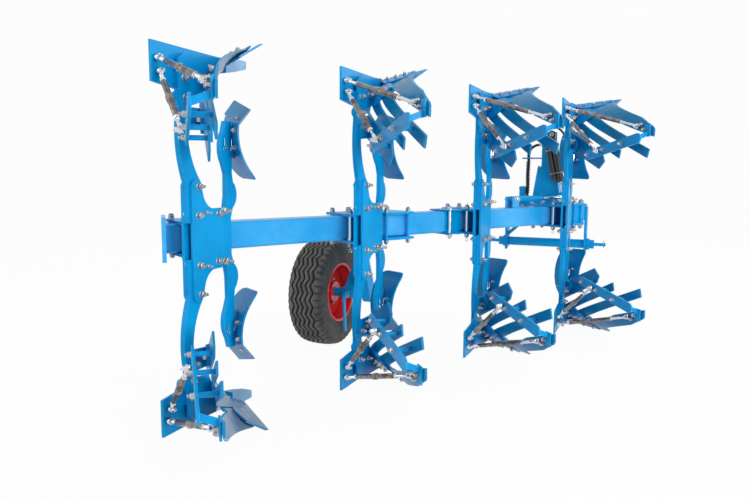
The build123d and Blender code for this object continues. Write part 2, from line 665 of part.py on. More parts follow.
def make_barrel():
    """Cylinder barrel with its upper eye and the second tube clamped beside it."""
    top, eye = cylinder_line()
    run = (eye - top).normalized()
    barrel = rod_between(top + run * 45, top + run * CYL_BARREL, BARREL_R)
    barrel += rod_between(top + run * (CYL_BARREL - 40), top + run * CYL_BARREL, BARREL_R + 5)
    barrel += Plane(origin=top, z_dir=(1, 0, 0)) * Cylinder(32, 50)
    barrel += rod_between(top + run * 10, top + run * 60, 24)
    start, end = side_tube_line()
    barrel += rod_between(start, end, SIDE_TUBE_R)
    barrel += rod_between(port_point(0), port_point(PORT_OUT), PORT_R)
    bore = rod_between(top + run * 60, top + run * (CYL_BARREL + 50), ROD_R + 1)
    hole = Plane(origin=top, z_dir=(1, 0, 0)) * Cylinder(15.05, 80)
    return barrel - bore - hole


def make_rod():
    """Piston rod with its eye, at the crank."""
    top, eye = cylinder_line()
    run = (eye - top).normalized()
    rod = rod_between(top + run * 66, eye - run * 20, ROD_R)
    rod += Plane(origin=eye, z_dir=(1, 0, 0)) * Cylinder(36, 44)
    return rod


PORT_DOWN = 215.0         # barrel's side port, from the upper pivot
PORT_WAY = Vector(0, -0.64, 0.768)
PORT_R = 15.0
PORT_OUT = 54.0           # port's face, from the barrel's axis
# short hose from the second tube's top over to the port: steps from the upper pivot
HOSE_LOOP = [(-30, 52, 10), (-58, 22, 52), (-64, -36, 60), (-56, -88, 26), (-40, -116, -34),
             (-16, -118, -84)]


def port_point(out):
    """Point on the axis of the barrel's side port."""
    top, eye = cylinder_line()
    return top + (eye - top).normalized() * PORT_DOWN + PORT_WAY * out


def make_cylinder_hose():
    """Short hose between the cylinder's two tubes."""
    top, eye = cylinder_line()
    start = side_tube_line()[0]
    up = (top - eye).normalized()
    points = [start + up * SEAT, start + up * 44]
    points += [top + Vector(*step) for step in HOSE_LOOP]
    points += [port_point(PORT_OUT + 38), port_point(PORT_OUT + SEAT)]
    return hose(points, LOOP_R)


# ---------------------------------------------------------------- headstock
HOSE_X = MAST_REAR + 42          # supply hoses, left of the mast
HOSE_Y = TURN_Y + 168
HOLDER_Z = AXIS_Z + 462
HOLDER_R = 52.0
HOLDER_BAR_R = 6.0


def ear_face(side):
    """Right-hand face of one of the mast's two ears."""
    return TURN_Y + side * EAR_GAP / 2 - (0 if side > 0 else EAR_T)


def make_mast():
    """Tapered box mast with the top link ears, the cylinder's pin and the hose holder."""
    plane = Plane(origin=(MAST_REAR, TURN_Y, 0), x_dir=(0, 1, 0), z_dir=(1, 0, 0))
    base_z = AXIS_Z + 70
    half = MAST_TOP_W / 2
    base = MAST_BASE_W / 2
    face = polygon([(-base, base_z), (base, base_z), (half, MAST_TOP_Z), (-half, MAST_TOP_Z)])
    mast = extrude(plane * face, amount=MAST_T)
    inner = polygon([(EAR_T - base, base_z - 1), (base - EAR_T, base_z - 1),
                     (half - EAR_T, MAST_TOP_Z + 1), (EAR_T - half, MAST_TOP_Z + 1)])
    mast -= Pos(EAR_T, 0, 0) * extrude(plane * inner, amount=MAST_T - 2 * EAR_T)
    crest = CYL_TOP_Z + 25
    for side in (1, -1):
        notch = polygon([(side * (half - 4), MAST_TOP_Z + 1), (side * 58, MAST_TOP_Z - 35),
                         (side * 50, MAST_TOP_Z + 1)])
        mast -= extrude(plane * notch, amount=MAST_T)
        ear = polygon([(MAST_REAR + EAR_T, MAST_TOP_Z - 94), (MAST_REAR + 90, MAST_TOP_Z - 94),
                       (MAST_REAR + 190, TOP_LINK_Z - 40), (MAST_REAR + 190, TOP_LINK_Z + 40),
                       (MAST_REAR + 80, crest), (MAST_REAR + EAR_T, crest)])
        mast += side_plate(ear, ear_face(side), EAR_T)
    low = MAST_TOP_Z - 94
    mast += Pos(MAST_REAR + EAR_T / 2, TURN_Y - 15, (low + crest) / 2) * Box(
        EAR_T, EAR_GAP + 2 * EAR_T + 30, crest - low)
    pin = Pos(CYL_X - 40, TURN_Y + CYL_TOP_DY, CYL_TOP_Z) * Rot(0, 90, 0) * Cylinder(
        15, MAST_REAR - CYL_X + 50, align=(Align.CENTER, Align.CENTER, Align.MIN))
    mast += pin
    mast -= Pos(MAST_REAR + 160, TURN_Y, TOP_LINK_Z) * Rot(90, 0, 0) * Cylinder(TOP_PIN_R, 200)
    holder = Pos(HOSE_X, HOSE_Y, HOLDER_Z) * Torus(HOLDER_R, HOLDER_BAR_R)
    arm_start = (HOSE_X, HOSE_Y - HOLDER_R, HOLDER_Z)
    return mast + holder + rod_between(arm_start, (HOSE_X, ear_face(1) + 2, HOLDER_Z), HOLDER_BAR_R)


# supply hoses: steps from the foot of the hoses, up through the holder and over to the ear
SUPPLY = [(0, 0, 0), (0, 3, 60), (0, -2, 125), (0, 4, 190), (0, 1, 255), (0, -3, 325),
          (0, 0, 400), (0, -25, 443), (0, -68, 468)]
SUPPLY_FOOT = AXIS_Z + 110
SUPPLY_GAP = 13.0         # half the distance between the two hoses


def make_supply_hoses():
    """Two hoses from the bearing housing up to the ports on the mast's left ear."""
    made = []
    for side in (1, -1):
        foot = Vector(HOSE_X + side * SUPPLY_GAP, HOSE_Y + side * 4, SUPPLY_FOOT)
        points = [foot + Vector(*step) for step in SUPPLY]
        last = points[-1]
        end = Vector(last.X, ear_face(1) + EAR_T + SEAT, last.Z)
        made.append(hose(points + [end], HOSE_R))
    return made


def make_housing():
    """Bearing housing for the turnover shaft, with the two cheeks down to the cross shaft."""
    span = 680.0
    box = Pos(MAST_REAR + MAST_T / 2, TURN_Y, AXIS_Z) * Box(MAST_T, span, 138)
    collar = Pos(MAST_REAR - 12, TURN_Y, AXIS_Z) * Rot(0, 90, 0) * Cylinder(SHAFT_R + 30, 24)
    housing = box + collar
    for side in (1, -1):
        face = polygon([(MAST_REAR, AXIS_Z + 45), (MAST_REAR + MAST_T, AXIS_Z + 45),
                        (MAST_REAR + MAST_T, HITCH_Z - 40), (HITCH_X - 60, HITCH_Z - 70),
                        (HITCH_X - 60, HITCH_Z + 30)])
        middle = TURN_Y + side * span / 2
        housing += side_plate(face, middle - 10, 20)
    foot = (HITCH_X - 30, TURN_Y + span / 2 - 5, HITCH_Z + 62)
    housing += rod_between(foot, (MAST_REAR + 50, TURN_Y + 160, AXIS_Z - 60), 15)
    housing += Pos(MAST_REAR + 22, TURN_Y + 208, AXIS_Z + 60) * Cylinder(
        28, 145, align=(Align.CENTER, Align.CENTER, Align.MIN))
    for side in (1, -1):
        spot = Pos(HOSE_X + side * SUPPLY_GAP, HOSE_Y + side * 4, AXIS_Z + 60)
        housing += spot * Cylinder(12, SUPPLY_FOOT - AXIS_Z - 60 - SEAT,
                                   align=(Align.CENTER, Align.CENTER, Align.MIN))
    housing -= Pos(MAST_REAR, TURN_Y, AXIS_Z) * Rot(0, 90, 0) * Cylinder(SHAFT_R + 0.06, 500)
    housing -= Pos(HITCH_X, TURN_Y, HITCH_Z) * Rot(90, 0, 0) * Cylinder(HITCH_TUBE_R + SEAT, 1200)
    return housing


def make_cross_shaft():
    """Cross shaft with a stepped hitch pin at each end."""
    shaft = Pos(HITCH_X, TURN_Y, HITCH_Z) * Rot(90, 0, 0) * Cylinder(HITCH_TUBE_R, HITCH_SPAN)
    pins = Pos(HITCH_X, TURN_Y, HITCH_Z) * Rot(90, 0, 0) * Cylinder(
        HITCH_PIN_R, HITCH_SPAN + 2 * HITCH_PIN_L)
    return shaft + pins


# ---------------------------------------------------------------- depth wheel
def make_wheel_bracket():
    """Clamp on the beam with the pivot ears of the wheel arm."""
    plane = beam_plane(WHEEL_PIVOT_X)
    body = None
    for side in (1, -1):
        level = side * (BEAM / 2 + SEAT + CLAMP_T / 2)
        plate = plane * Pos(0, 5, level) * Box(WHEEL_CLAMP, BEAM + 120, CLAMP_T)
        body = plate if body is None else body + plate
    left = plane * Pos(0, BEAM / 2 + SEAT + 8, 0) * Box(WHEEL_CLAMP, 16, BEAM + 2 * CLAMP_T + 2 * SEAT)
    body += left
    near = WHEEL_PIVOT_Y - ARM_T / 2 - 15
    length = near - beam_y(WHEEL_PIVOT_X) - BEAM / 2 + 10
    boss = Pos(WHEEL_PIVOT_X, near - length / 2, AXIS_Z)
    beam_room = plane * Box(600, BEAM + 2 * SEAT, BEAM + 2 * SEAT)
    body += boss * Rot(90, 0, 0) * Cylinder(48, length) - beam_room
    body += Pos(WHEEL_PIVOT_X, WHEEL_PIVOT_Y, AXIS_Z) * Rot(90, 0, 0) * Cylinder(25, 110)
    for x in (25 - WHEEL_CLAMP / 2, WHEEL_CLAMP / 2 - 25):
        for y in (-1, 1):
            out = y * (BEAM / 2 + 30) + 5
            body += plane * Pos(x, out, 0) * Cylinder(10, BEAM + 80)
    return body


def hub_point():
    """Centre of the wheel."""
    return Vector(WHEEL_X, WHEEL_Y, TYRE_R)


def make_wheel_arm():
    """Arm from the pivot to the stub axle, with the mud scraper."""
    pivot = Vector(WHEEL_PIVOT_X, WHEEL_PIVOT_Y, AXIS_Z)
    hub = hub_point()
    knee = Vector(WHEEL_X, WHEEL_PIVOT_Y, TYRE_R)
    run = knee - pivot
    plane = Plane(origin=pivot, x_dir=run, z_dir=(0, -1, 0))
    arm = plane * Pos(run.length / 2, 0, 0) * Box(run.length, ARM_W, ARM_T)
    arm += Pos(pivot) * Rot(90, 0, 0) * Cylinder(50, ARM_T)
    arm -= Pos(pivot) * Rot(90, 0, 0) * Cylinder(25.05, 200)
    axle_end = WHEEL_Y + 60
    arm += rod_between(knee - Vector(0, ARM_T / 2, 0), (WHEEL_X, axle_end, TYRE_R), 30)
    arm += Pos(knee) * Rot(90, 0, 0) * Cylinder(52, ARM_T)
    outside = WHEEL_Y - TYRE_W / 2
    rib = polygon([(outside - 25, TYRE_R), (knee.Y, TYRE_R), (knee.Y, TYRE_R + 135)])
    rib_plane = Plane(origin=(WHEEL_X, 0, 0), x_dir=(0, 1, 0), z_dir=(1, 0, 0))
    arm += extrude(rib_plane * rib, amount=8, both=True)
    scraper = Pos(WHEEL_X - 45, outside - 34, TYRE_R - 130) * Rot(0, -6, 0) * Box(30, 10, 270)
    arm += Pos(WHEEL_X - 32, outside - 34, TYRE_R - 8) * Box(50, 26, 50) + scraper
    return arm


def make_rim():
    """Dished rim with its hub, open to the right."""
    centre = Pos(hub_point()) * Rot(90, 0, 0)
    rim = centre * (Cylinder(RIM_R, RIM_W) - Cylinder(RIM_R - 12, RIM_W + 2))
    disc = centre * Pos(0, 0, -20) * Cylinder(RIM_R - 6, 12)
    hub = centre * Pos(0, 0, 0) * Cylinder(70, 130)
    rim += disc + hub
    return rim - centre * Cylinder(30.05, 400)


def make_tyre():
    """Tyre with rounded shoulders."""
    half = TYRE_W / 2
    seat = RIM_R + SEAT
    face = outline(
        Line((seat, -half + 22), (seat, half - 22)),
        Line((seat, half - 22), (seat + 12, half - 8)),
        ThreePointArc((seat + 12, half - 8), (seat + 80, half), (TYRE_R - 30, half - 24)),
        ThreePointArc((TYRE_R - 30, half - 24), (TYRE_R, 0), (TYRE_R - 30, -half + 24)),
        ThreePointArc((TYRE_R - 30, -half + 24), (seat + 80, -half), (seat + 12, -half + 8)),
        Line((seat + 12, -half + 8), (seat, -half + 22)))
    tyre = revolve(Plane.XZ * face, axis=Axis.Z)
    return Pos(hub_point()) * Rot(90, 0, 0) * tyre


# ---------------------------------------------------------------- assembly
def make_nodes():
    """Every sub-part by name, before the origin is moved."""
    nodes = {}
    legs = both(make_leg())
    frogs = [s for piece in make_frog() for s in both(piece)]
    landsides = both(make_landside())
    shares = [s for piece in (make_share(), make_chisel()) for s in both(piece)]
    boards = [s for slat in make_slats() for s in both(slat)]
    skimmers = [s for piece in make_skimmer() for s in both(piece)]
    bracket = make_bracket()
    braces = both(make_brace())
    stays = [s for stay in make_stays() for s in both(stay)]
    arms = both(make_skimmer_arm())
    for k in range(PAIRS):
        number = str(k + 1)
        nodes["bracket_" + number] = place(bracket, k)
        nodes["legs_" + number] = spread(legs, k)
        nodes["frogs_" + number] = spread(frogs, k)
        nodes["landsides_" + number] = spread(landsides, k)
        nodes["shares_" + number] = spread(shares, k)
        nodes["mouldboards_" + number] = spread(boards, k)
        nodes["skimmers_" + number] = spread(skimmers, k)
    rows = range(PAIRS)
    nodes["slat_braces"] = Compound(children=[place(s, k) for k in rows for s in braces])
    link = turnbuckle(*adjuster_ends(), ADJUST_EYE_R)
    nodes["stays"] = Compound(children=[place(s, k) for k in rows for s in stays] + [link])
    nodes["skimmer_arms"] = Compound(children=[place(s, k) for k in rows for s in arms])
    nodes["main_beam"] = make_beam()
    nodes["turnover_carrier"] = make_carrier()
    nodes["turnover_shaft"] = make_turn_shaft()
    nodes["cylinder_barrel"] = make_barrel()
    nodes["cylinder_rod"] = make_rod()
    nodes["cylinder_hose"] = make_cylinder_hose()
    nodes["supply_hoses"] = Compound(children=make_supply_hoses())
    nodes["mast"] = make_mast()
    nodes["bearing_housing"] = make_housing()
    nodes["cross_shaft"] = make_cross_shaft()
    nodes["wheel_bracket"] = make_wheel_bracket()
    nodes["wheel_arm"] = make_wheel_arm()
    nodes["wheel_rim"] = make_rim()
    nodes["wheel_tyre"] = make_tyre()
    return nodes


def shift_of(nodes):
    """Middle of the whole part's box at floor level, which becomes the origin."""
    boxes = [shape.bounding_box() for shape in nodes.values()]
    x = (min(b.min.X for b in boxes) + max(b.max.X for b in boxes)) / 2
    y = (min(b.min.Y for b in boxes) + max(b.max.Y for b in boxes)) / 2
    return Vector(x, y, min(b.min.Z for b in boxes))


NODES = make_nodes()
SHIFT = shift_of(NODES)
print("origin moved by", SHIFT)

os.makedirs("parts", exist_ok=True)
for name, shape in NODES.items():
    export_step(Pos(-SHIFT.X, -SHIFT.Y, -SHIFT.Z) * shape, "parts/" + name + ".step")
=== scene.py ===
import json
import math

import bmesh
import bpy
import numpy as np
from mathutils import Matrix


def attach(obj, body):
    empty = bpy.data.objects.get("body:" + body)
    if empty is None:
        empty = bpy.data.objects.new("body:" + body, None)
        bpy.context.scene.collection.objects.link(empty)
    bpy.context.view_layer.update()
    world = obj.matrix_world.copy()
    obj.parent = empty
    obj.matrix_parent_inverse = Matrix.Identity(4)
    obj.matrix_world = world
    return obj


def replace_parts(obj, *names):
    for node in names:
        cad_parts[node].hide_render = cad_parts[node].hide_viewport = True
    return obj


# Looks of a mounted reversible plough with four furrow pairs.  Metres, in the row frame:
# +X is the way of travel, +Y is to the left and +Z is up.

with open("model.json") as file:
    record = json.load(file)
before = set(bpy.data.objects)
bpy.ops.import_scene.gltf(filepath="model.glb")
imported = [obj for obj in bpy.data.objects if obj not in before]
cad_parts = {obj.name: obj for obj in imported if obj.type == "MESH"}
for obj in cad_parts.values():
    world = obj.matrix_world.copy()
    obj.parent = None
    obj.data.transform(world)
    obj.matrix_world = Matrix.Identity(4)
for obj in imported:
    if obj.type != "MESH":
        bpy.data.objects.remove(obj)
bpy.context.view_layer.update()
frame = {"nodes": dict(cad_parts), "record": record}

# ------------------------------------------------------------------ places shared with the solids
SHIFT = np.array([1.44199, -0.853187, 0.0])      # from the design's origin to the row's
AXIS_Z = 0.8705                   # height of the beam's middle and of the turnover's axis
PITCH = 0.9                       # from body to body along the travel
FURROW = 0.45                     # and across it
SLANT = math.atan2(FURROW, PITCH)
BEAM_REAR_X = 0.012
BEAM_CROSS_X = 0.39               # where the beam's middle line crosses the first landside
BOARD_TURN = math.radians(40.5)   # from the working surface to the travel
UP = np.array([0.0, 0.0, 1.0])
LEFT = np.array([0.0, 1.0, 0.0])
AHEAD = np.array([1.0, 0.0, 0.0])
BEAM_WAY = np.array([math.cos(SLANT), -math.sin(SLANT), 0.0])
BEAM_SIDE = np.array([math.sin(SLANT), math.cos(SLANT), 0.0])


def row(points):
    """Design points in metres, moved to the row's origin."""
    return np.asarray(points, float) - SHIFT


ORIGIN = row([0.0, 0.0, 0.0])
ALONE = ORIGIN[None]                                                 # move of a single piece
PAIRS = ORIGIN + np.outer(np.arange(4.0), [PITCH, -FURROW, 0.0])     # moves to each pair
HERE = np.zeros((1, 3))                                              # no move


def below(v, mid=AXIS_Z):
    """A point or a direction of the lower bodies, as it is; called in the same way as above."""
    return np.asarray(v, float)


def above(v, mid=AXIS_Z):
    """Mirror image of a point above the beam; with mid 0, of a direction."""
    return np.asarray(v, float) * [1, 1, -1] + [0, 0, 2 * mid]


BOTH = (below, above)


def beam_middle(x):
    """Point on the beam's middle line, which runs to the right by a furrow in each pitch."""
    return np.array([x, -(x - BEAM_CROSS_X) * FURROW / PITCH, AXIS_Z])


def beam_spot(along, left, high):
    """Place along the beam from its rear end, left of its middle and above it."""
    rear = beam_middle(BEAM_REAR_X)
    return rear + along * BEAM_WAY + left * BEAM_SIDE + high * UP


# ------------------------------------------------------------------ surfaces
class Sheets:
    """Surface grids gathered into one mesh."""

    def __init__(self):
        self.points = []
        self.faces = []
        self.count = 0

    def grid(self, p, wrap_u=False):
        """Quads between neighbours of a grid of points.  The second way closes on itself, and
        the first does where it is wrapped."""
        nu, nv = p.shape[:2]
        u = np.arange(nu if wrap_u else nu - 1)
        a, b = np.meshgrid(u, np.arange(nv), indexing="ij")
        c, d = (a + 1) % nu, (b + 1) % nv
        quads = np.stack([a * nv + b, a * nv + d, c * nv + d, c * nv + b], -1).reshape(-1, 4)
        self.faces.append(quads + self.count)
        self.points.append(p.reshape(-1, 3))
        self.count += nu * nv

    def copies(self, p, moves, wrap_u=False):
        """The same grid laid down at several places: every move is added to every point."""
        for move in moves:
            self.grid(p + move, wrap_u)

    def make(self, name, body, slot, material, smooth=40.0):
        """Mesh object from the gathered grids, riding on a body."""
        mesh = bpy.data.meshes.new(name)
        points = np.concatenate(self.points)
        faces = np.concatenate(self.faces)
        mesh.from_pydata(points.tolist(), [], faces.tolist())
        shell = bmesh.new()
        shell.from_mesh(mesh)
        bmesh.ops.remove_doubles(shell, verts=shell.verts, dist=1e-6)
        bmesh.ops.recalc_face_normals(shell, faces=shell.faces)
        shell.to_mesh(mesh)
        shell.free()
        mesh.shade_smooth()
        mesh.set_sharp_from_angle(angle=math.radians(smooth))
        mesh.materials.append(material)
        piece = bpy.data.objects.new(name, mesh)
        bpy.context.scene.collection.objects.link(piece)
        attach(piece, body)
        return piece


def unit(v):
    """Vectors at length one."""
    v = np.asarray(v, float)
    return v / np.linalg.norm(v, axis=-1, keepdims=True)


def frame_of(axis):
    """An axis at length one, and two unit vectors square to it and to each other."""
    axis = unit(axis)
    other = UP if abs(axis[2]) < 0.9 else AHEAD
    side = unit(np.cross(axis, other))
    return axis, side, np.cross(axis, side)


def turned(profile, centre, axis, steps, corners=0):
    """Surface of revolution: each (radius, height) of the profile is carried round the axis.
    With corners the radius follows a regular polygon, r cos(pi/n) / cos(angle to the
    nearest flat), which makes a nut or a bolt head."""
    axis, side, up = frame_of(axis)
    angle = np.linspace(0, 2 * math.pi, steps, endpoint=False)
    reach = np.ones(steps)
    if corners:
        part = 2 * math.pi / corners
        reach = math.cos(part / 2) / np.cos((angle % part) - part / 2)
    r, h = np.asarray(profile, float).T
    ring = side * np.cos(angle)[:, None] + up * np.sin(angle)[:, None]
    around = (r[:, None] * reach)[..., None] * ring[None]
    return np.asarray(centre) + around + h[:, None, None] * axis


def tube(path, radius, steps, closed=False):
    """Round bar along a path: circles square to the path, with the radius given along it.  An
    open tube's ends close on the path's own ends."""
    path = np.asarray(path, float)
    along = np.gradient(path, axis=0)
    if closed:
        along = np.roll(path, -1, 0) - np.roll(path, 1, 0)
    along = unit(along)
    other = np.eye(3)[np.argmin(np.abs(along).mean(0))]
    side = unit(np.cross(along, other))
    up = np.cross(along, side)
    angle = np.linspace(0, 2 * math.pi, steps, endpoint=False)
    cos, sin = np.cos(angle)[None, :, None], np.sin(angle)[None, :, None]
    ring = side[:, None] * cos + up[:, None] * sin
    radius = np.broadcast_to(np.asarray(radius, float), path.shape[:1])
    p = path[:, None] + radius[:, None, None] * ring
    if not closed:
        p = np.concatenate([path[:1, None].repeat(steps, 1), p, path[-1:, None].repeat(steps, 1)])
    return p


# ------------------------------------------------------------------ shader groups
def group(name, inputs, outputs):
    """Empty shader node group with named sockets."""
    tree = bpy.data.node_groups.new(name, "ShaderNodeTree")
    for label, kind, value in inputs:
        socket = tree.interface.new_socket(label, in_out="INPUT", socket_type=kind)
        socket.default_value = value
    for label, kind in outputs:
        tree.interface.new_socket(label, in_out="OUTPUT", socket_type=kind)
    return tree, tree.nodes.new("NodeGroupInput"), tree.nodes.new("NodeGroupOutput")


def node(tree, kind, links=None, **values):
    """Node with its settings, plain input values and links from other sockets."""
    made = tree.nodes.new(kind)
    for key, value in values.items():
        setattr(made, key, value)
    for key, source in (links or {}).items():
        if isinstance(source, bpy.types.NodeSocket):
            tree.links.new(source, made.inputs[key])
        else:
            made.inputs[key].default_value = source
    return made


def mix(tree, share, low, high):
    """Colour between two, by a share of 0 to 1."""
    made = node(tree, "ShaderNodeMix", {0: share, 6: low, 7: high}, data_type="RGBA")
    return made.outputs[2]


def reckon(tree, operation, a, b):
    """Value worked out from two others."""
    return node(tree, "ShaderNodeMath", {0: a, 1: b}, operation=operation).outputs[0]


def first(tree, kind):
    """First node of a kind."""
    return next(n for n in tree.nodes if n.type == kind)


def patches_group():
    """Soft patches and fine grain from two noises: the patches as a mask, the grain, and
    their sum as a height."""
    tree, given, made = group(
        "patches",
        [("Coarse", "NodeSocketFloat", 4.0), ("Fine", "NodeSocketFloat", 220.0)],
        [("Mask", "NodeSocketFloat"), ("Grain", "NodeSocketFloat"),
         ("Height", "NodeSocketFloat")])
    place = node(tree, "ShaderNodeTexCoord")
    big = node(tree, "ShaderNodeTexNoise", {"Vector": place.outputs["Object"],
                                            "Scale": given.outputs["Coarse"], "Detail": 6.0,
                                            "Roughness": 0.62})
    fine = node(tree, "ShaderNodeTexNoise", {"Vector": place.outputs["Object"],
                                             "Scale": given.outputs["Fine"], "Detail": 3.0})
    mask = node(tree, "ShaderNodeMapRange", {0: big.outputs["Fac"], 1: 0.35, 2: 0.68})
    both = reckon(tree, "ADD", big.outputs["Fac"], fine.outputs["Fac"])
    tree.links.new(mask.outputs[0], made.inputs["Mask"])
    tree.links.new(fine.outputs["Fac"], made.inputs["Grain"])
    tree.links.new(both, made.inputs["Height"])
    return tree


def edges_group():
    """Mask of outer edges, from how far a rounded normal leans from the true one, broken up
    by patches; the finishes lighten these edges, a painted edge highlight with a little wear."""
    tree, given, made = group(
        "edges",
        [("Radius", "NodeSocketFloat", 0.003), ("Patches", "NodeSocketFloat", 0.5)],
        [("Mask", "NodeSocketFloat")])
    rounded = node(tree, "ShaderNodeBevel", {"Radius": given.outputs["Radius"]}, samples=4)
    true = node(tree, "ShaderNodeNewGeometry")
    lean = node(tree, "ShaderNodeVectorMath",
                {0: rounded.outputs[0], 1: true.outputs["Normal"]}, operation="DOT_PRODUCT")
    far = node(tree, "ShaderNodeMapRange", {0: lean.outputs["Value"], 1: 0.99, 2: 0.80})
    broken = reckon(tree, "MULTIPLY", far.outputs[0], given.outputs["Patches"])
    tree.links.new(broken, made.inputs["Mask"])
    return tree


PATCHES = patches_group()
EDGES = edges_group()
EDGE_R = 0.003            # width of the lighter edges: painted edge highlight with a little wear
COAT_ROUGH = 0.12


def linear(r, g, b):
    """Linear colour from screen values of 0 to 255."""
    c = np.array([r, g, b], float) / 255
    c = np.where(c <= 0.04045, c / 12.92, ((c + 0.055) / 1.055) ** 2.4)
    return (*c.tolist(), 1.0)


def blank(name):
    """New material with its shader and output."""
    material = bpy.data.materials.new(name)
    material.use_nodes = True
    tree = material.node_tree
    tree.nodes.clear()
    shader = tree.nodes.new("ShaderNodeBsdfPrincipled")
    output = tree.nodes.new("ShaderNodeOutputMaterial")
    tree.links.new(shader.outputs[0], output.inputs[0])
    return material, tree, shader


def finish_of(name, low, high, rough, metal=0.0, coat=0.0, edge=None, coarse=4.0,
              fine=220.0, bump=0.0002, shine=0.3):
    """Finish with mottled colour between two tones, patches of roughness, a fine bump and a
    lighter edge tone, which is a painted edge highlight with a little wear."""
    material, tree, shader = blank(name)
    patch = node(tree, "ShaderNodeGroup", {"Coarse": coarse, "Fine": fine},
                 node_tree=PATCHES)
    colour = mix(tree, patch.outputs["Mask"], low, high)
    # lighter tone on the outer edges: painted edge highlight, with a little wear
    if edge is not None:
        edge_highlight = node(tree, "ShaderNodeGroup",
                    {"Patches": patch.outputs["Grain"], "Radius": EDGE_R}, node_tree=EDGES)
        colour = mix(tree, edge_highlight.outputs["Mask"], colour, edge)
    tree.links.new(colour, shader.inputs["Base Color"])
    spread = node(tree, "ShaderNodeMapRange",
                  {0: patch.outputs["Grain"], 3: rough[0], 4: rough[1]})
    tree.links.new(spread.outputs[0], shader.inputs["Roughness"])
    for socket, value in (("Metallic", metal), ("Coat Weight", coat),
                          ("Coat Roughness", COAT_ROUGH), ("Specular IOR Level", shine)):
        shader.inputs[socket].default_value = value
    relief = node(tree, "ShaderNodeBump", {"Height": patch.outputs["Height"],
                                           "Distance": bump, "Strength": 0.6})
    tree.links.new(relief.outputs[0], shader.inputs["Normal"])
    return material


BLUE_LOW = linear(0, 144, 206)
BLUE_HIGH = linear(0, 161, 226)
BLUE_EDGE = linear(80, 186, 242)
BLUE_ROUGH = (0.26, 0.44)
BLUE_COAT = {"coat": 0.05, "shine": 0.13, "edge": BLUE_EDGE}


def two_sided(name, face_low, face_high):
    """Blue enamel behind and worked steel on the side that turns the soil: the side is told
    by how far the normal leans to the way the soil comes from.  The enamel behind is a darker
    copy of the frame's blue, painted shade."""
    # the enamel on the boards' backs is darker than the frame's blue: painted shade
    material = finish_of(name, linear(6, 118, 168), linear(14, 138, 194), BLUE_ROUGH,
                         **BLUE_COAT)
    tree = material.node_tree
    shader = first(tree, "BSDF_PRINCIPLED")
    patch = next(n for n in tree.nodes if n.type == "GROUP" and n.node_tree == PATCHES)
    shaded_enamel = shader.inputs["Base Color"].links[0].from_socket
    place = node(tree, "ShaderNodeTexCoord")
    soil_way = (math.sin(BOARD_TURN), -math.cos(BOARD_TURN), 0.0)
    lean = node(tree, "ShaderNodeVectorMath", {0: place.outputs["Normal"], 1: soil_way},
                operation="DOT_PRODUCT")
    side = node(tree, "ShaderNodeMapRange", {0: lean.outputs["Value"], 1: 0.25, 2: 0.35})
    steel = mix(tree, patch.outputs["Mask"], face_low, face_high)
    tree.links.new(mix(tree, side.outputs[0], shaded_enamel, steel), shader.inputs["Base Color"])
    metal = reckon(tree, "MULTIPLY", side.outputs[0], 0.4)
    tree.links.new(metal, shader.inputs["Metallic"])
    return material


FINISH = {
    "frame_blue": finish_of("enamel_blue", BLUE_LOW, BLUE_HIGH, BLUE_ROUGH, **BLUE_COAT),
    # the beam's enamel: a paler blue with broad pale patches, painted sheen
    "beam_blue": finish_of("enamel_with_painted_sheen", linear(26, 158, 226), linear(84, 184, 242),
                           (0.2, 0.4), coat=0.05, shine=0.2, edge=BLUE_EDGE, coarse=2.2),
    "slat_steel": two_sided("slat_enamel_and_steel", linear(98, 134, 166),
                            linear(146, 174, 198)),
    "share_steel": two_sided("share_enamel_and_steel", linear(84, 128, 166),
                             linear(126, 162, 192)),
    "zinc_steel": finish_of("zinc", linear(150, 148, 147), linear(206, 204, 203), (0.18, 0.36),
                            metal=0.9, edge=linear(215, 213, 210), coarse=30, fine=400),
    # darker, mottled steel, as on the stay sleeves: its dark tone and mottle are painted
    # reflection streaks
    "dark_steel": finish_of("steel_with_painted_reflection", linear(84, 79, 77), linear(158, 152, 148), (0.12, 0.36),
                            metal=0.9, edge=linear(200, 198, 196), coarse=26, fine=380),
    "black_paint": finish_of("black_enamel", linear(24, 25, 27), linear(38, 39, 42), (0.28, 0.45),
                             coat=0.4, edge=linear(70, 72, 76)),
    "chrome_rod": finish_of("chrome", linear(200, 202, 206), linear(222, 223, 226), (0.06, 0.14),
                            metal=1.0),
    "rim_red": finish_of("enamel_red", linear(214, 38, 42), linear(236, 52, 54), (0.25, 0.42),
                         coat=0.5, edge=linear(232, 90, 88)),
    "tyre": finish_of("tyre_rubber", linear(44, 42, 40), linear(66, 63, 60), (0.62, 0.85),
                      coarse=14, fine=160, bump=0.0008, edge=linear(88, 85, 80)),
    "hose_rubber": finish_of("hose_rubber", linear(22, 22, 23), linear(36, 36, 37), (0.4, 0.6),
                             coarse=20, fine=500),
}


def shaded_in_grooves(name, groove_shade):
    """Rubber with painted shade, darker down in the tread's grooves and on the walls, by the
    mesh's groove attribute.
    """
    material = finish_of(name, linear(80, 78, 75), linear(116, 112, 107), (0.5, 0.8), coarse=14,
                         fine=160, bump=0.0008, edge=linear(128, 125, 120))
    tree = material.node_tree
    shader = first(tree, "BSDF_PRINCIPLED")
    top = shader.inputs["Base Color"].links[0].from_socket
    painted_shade = node(tree, "ShaderNodeAttribute", attribute_name="groove")
    tree.links.new(mix(tree, painted_shade.outputs["Fac"], top, groove_shade), shader.inputs["Base Color"])
    return material


TYRE_RUBBER = shaded_in_grooves("tread_rubber", linear(24, 23, 23))
STEEL = FINISH["zinc_steel"]
DARK_STEEL = FINISH["dark_steel"]
CHROME = FINISH["chrome_rod"]
BLUE = FINISH["frame_blue"]

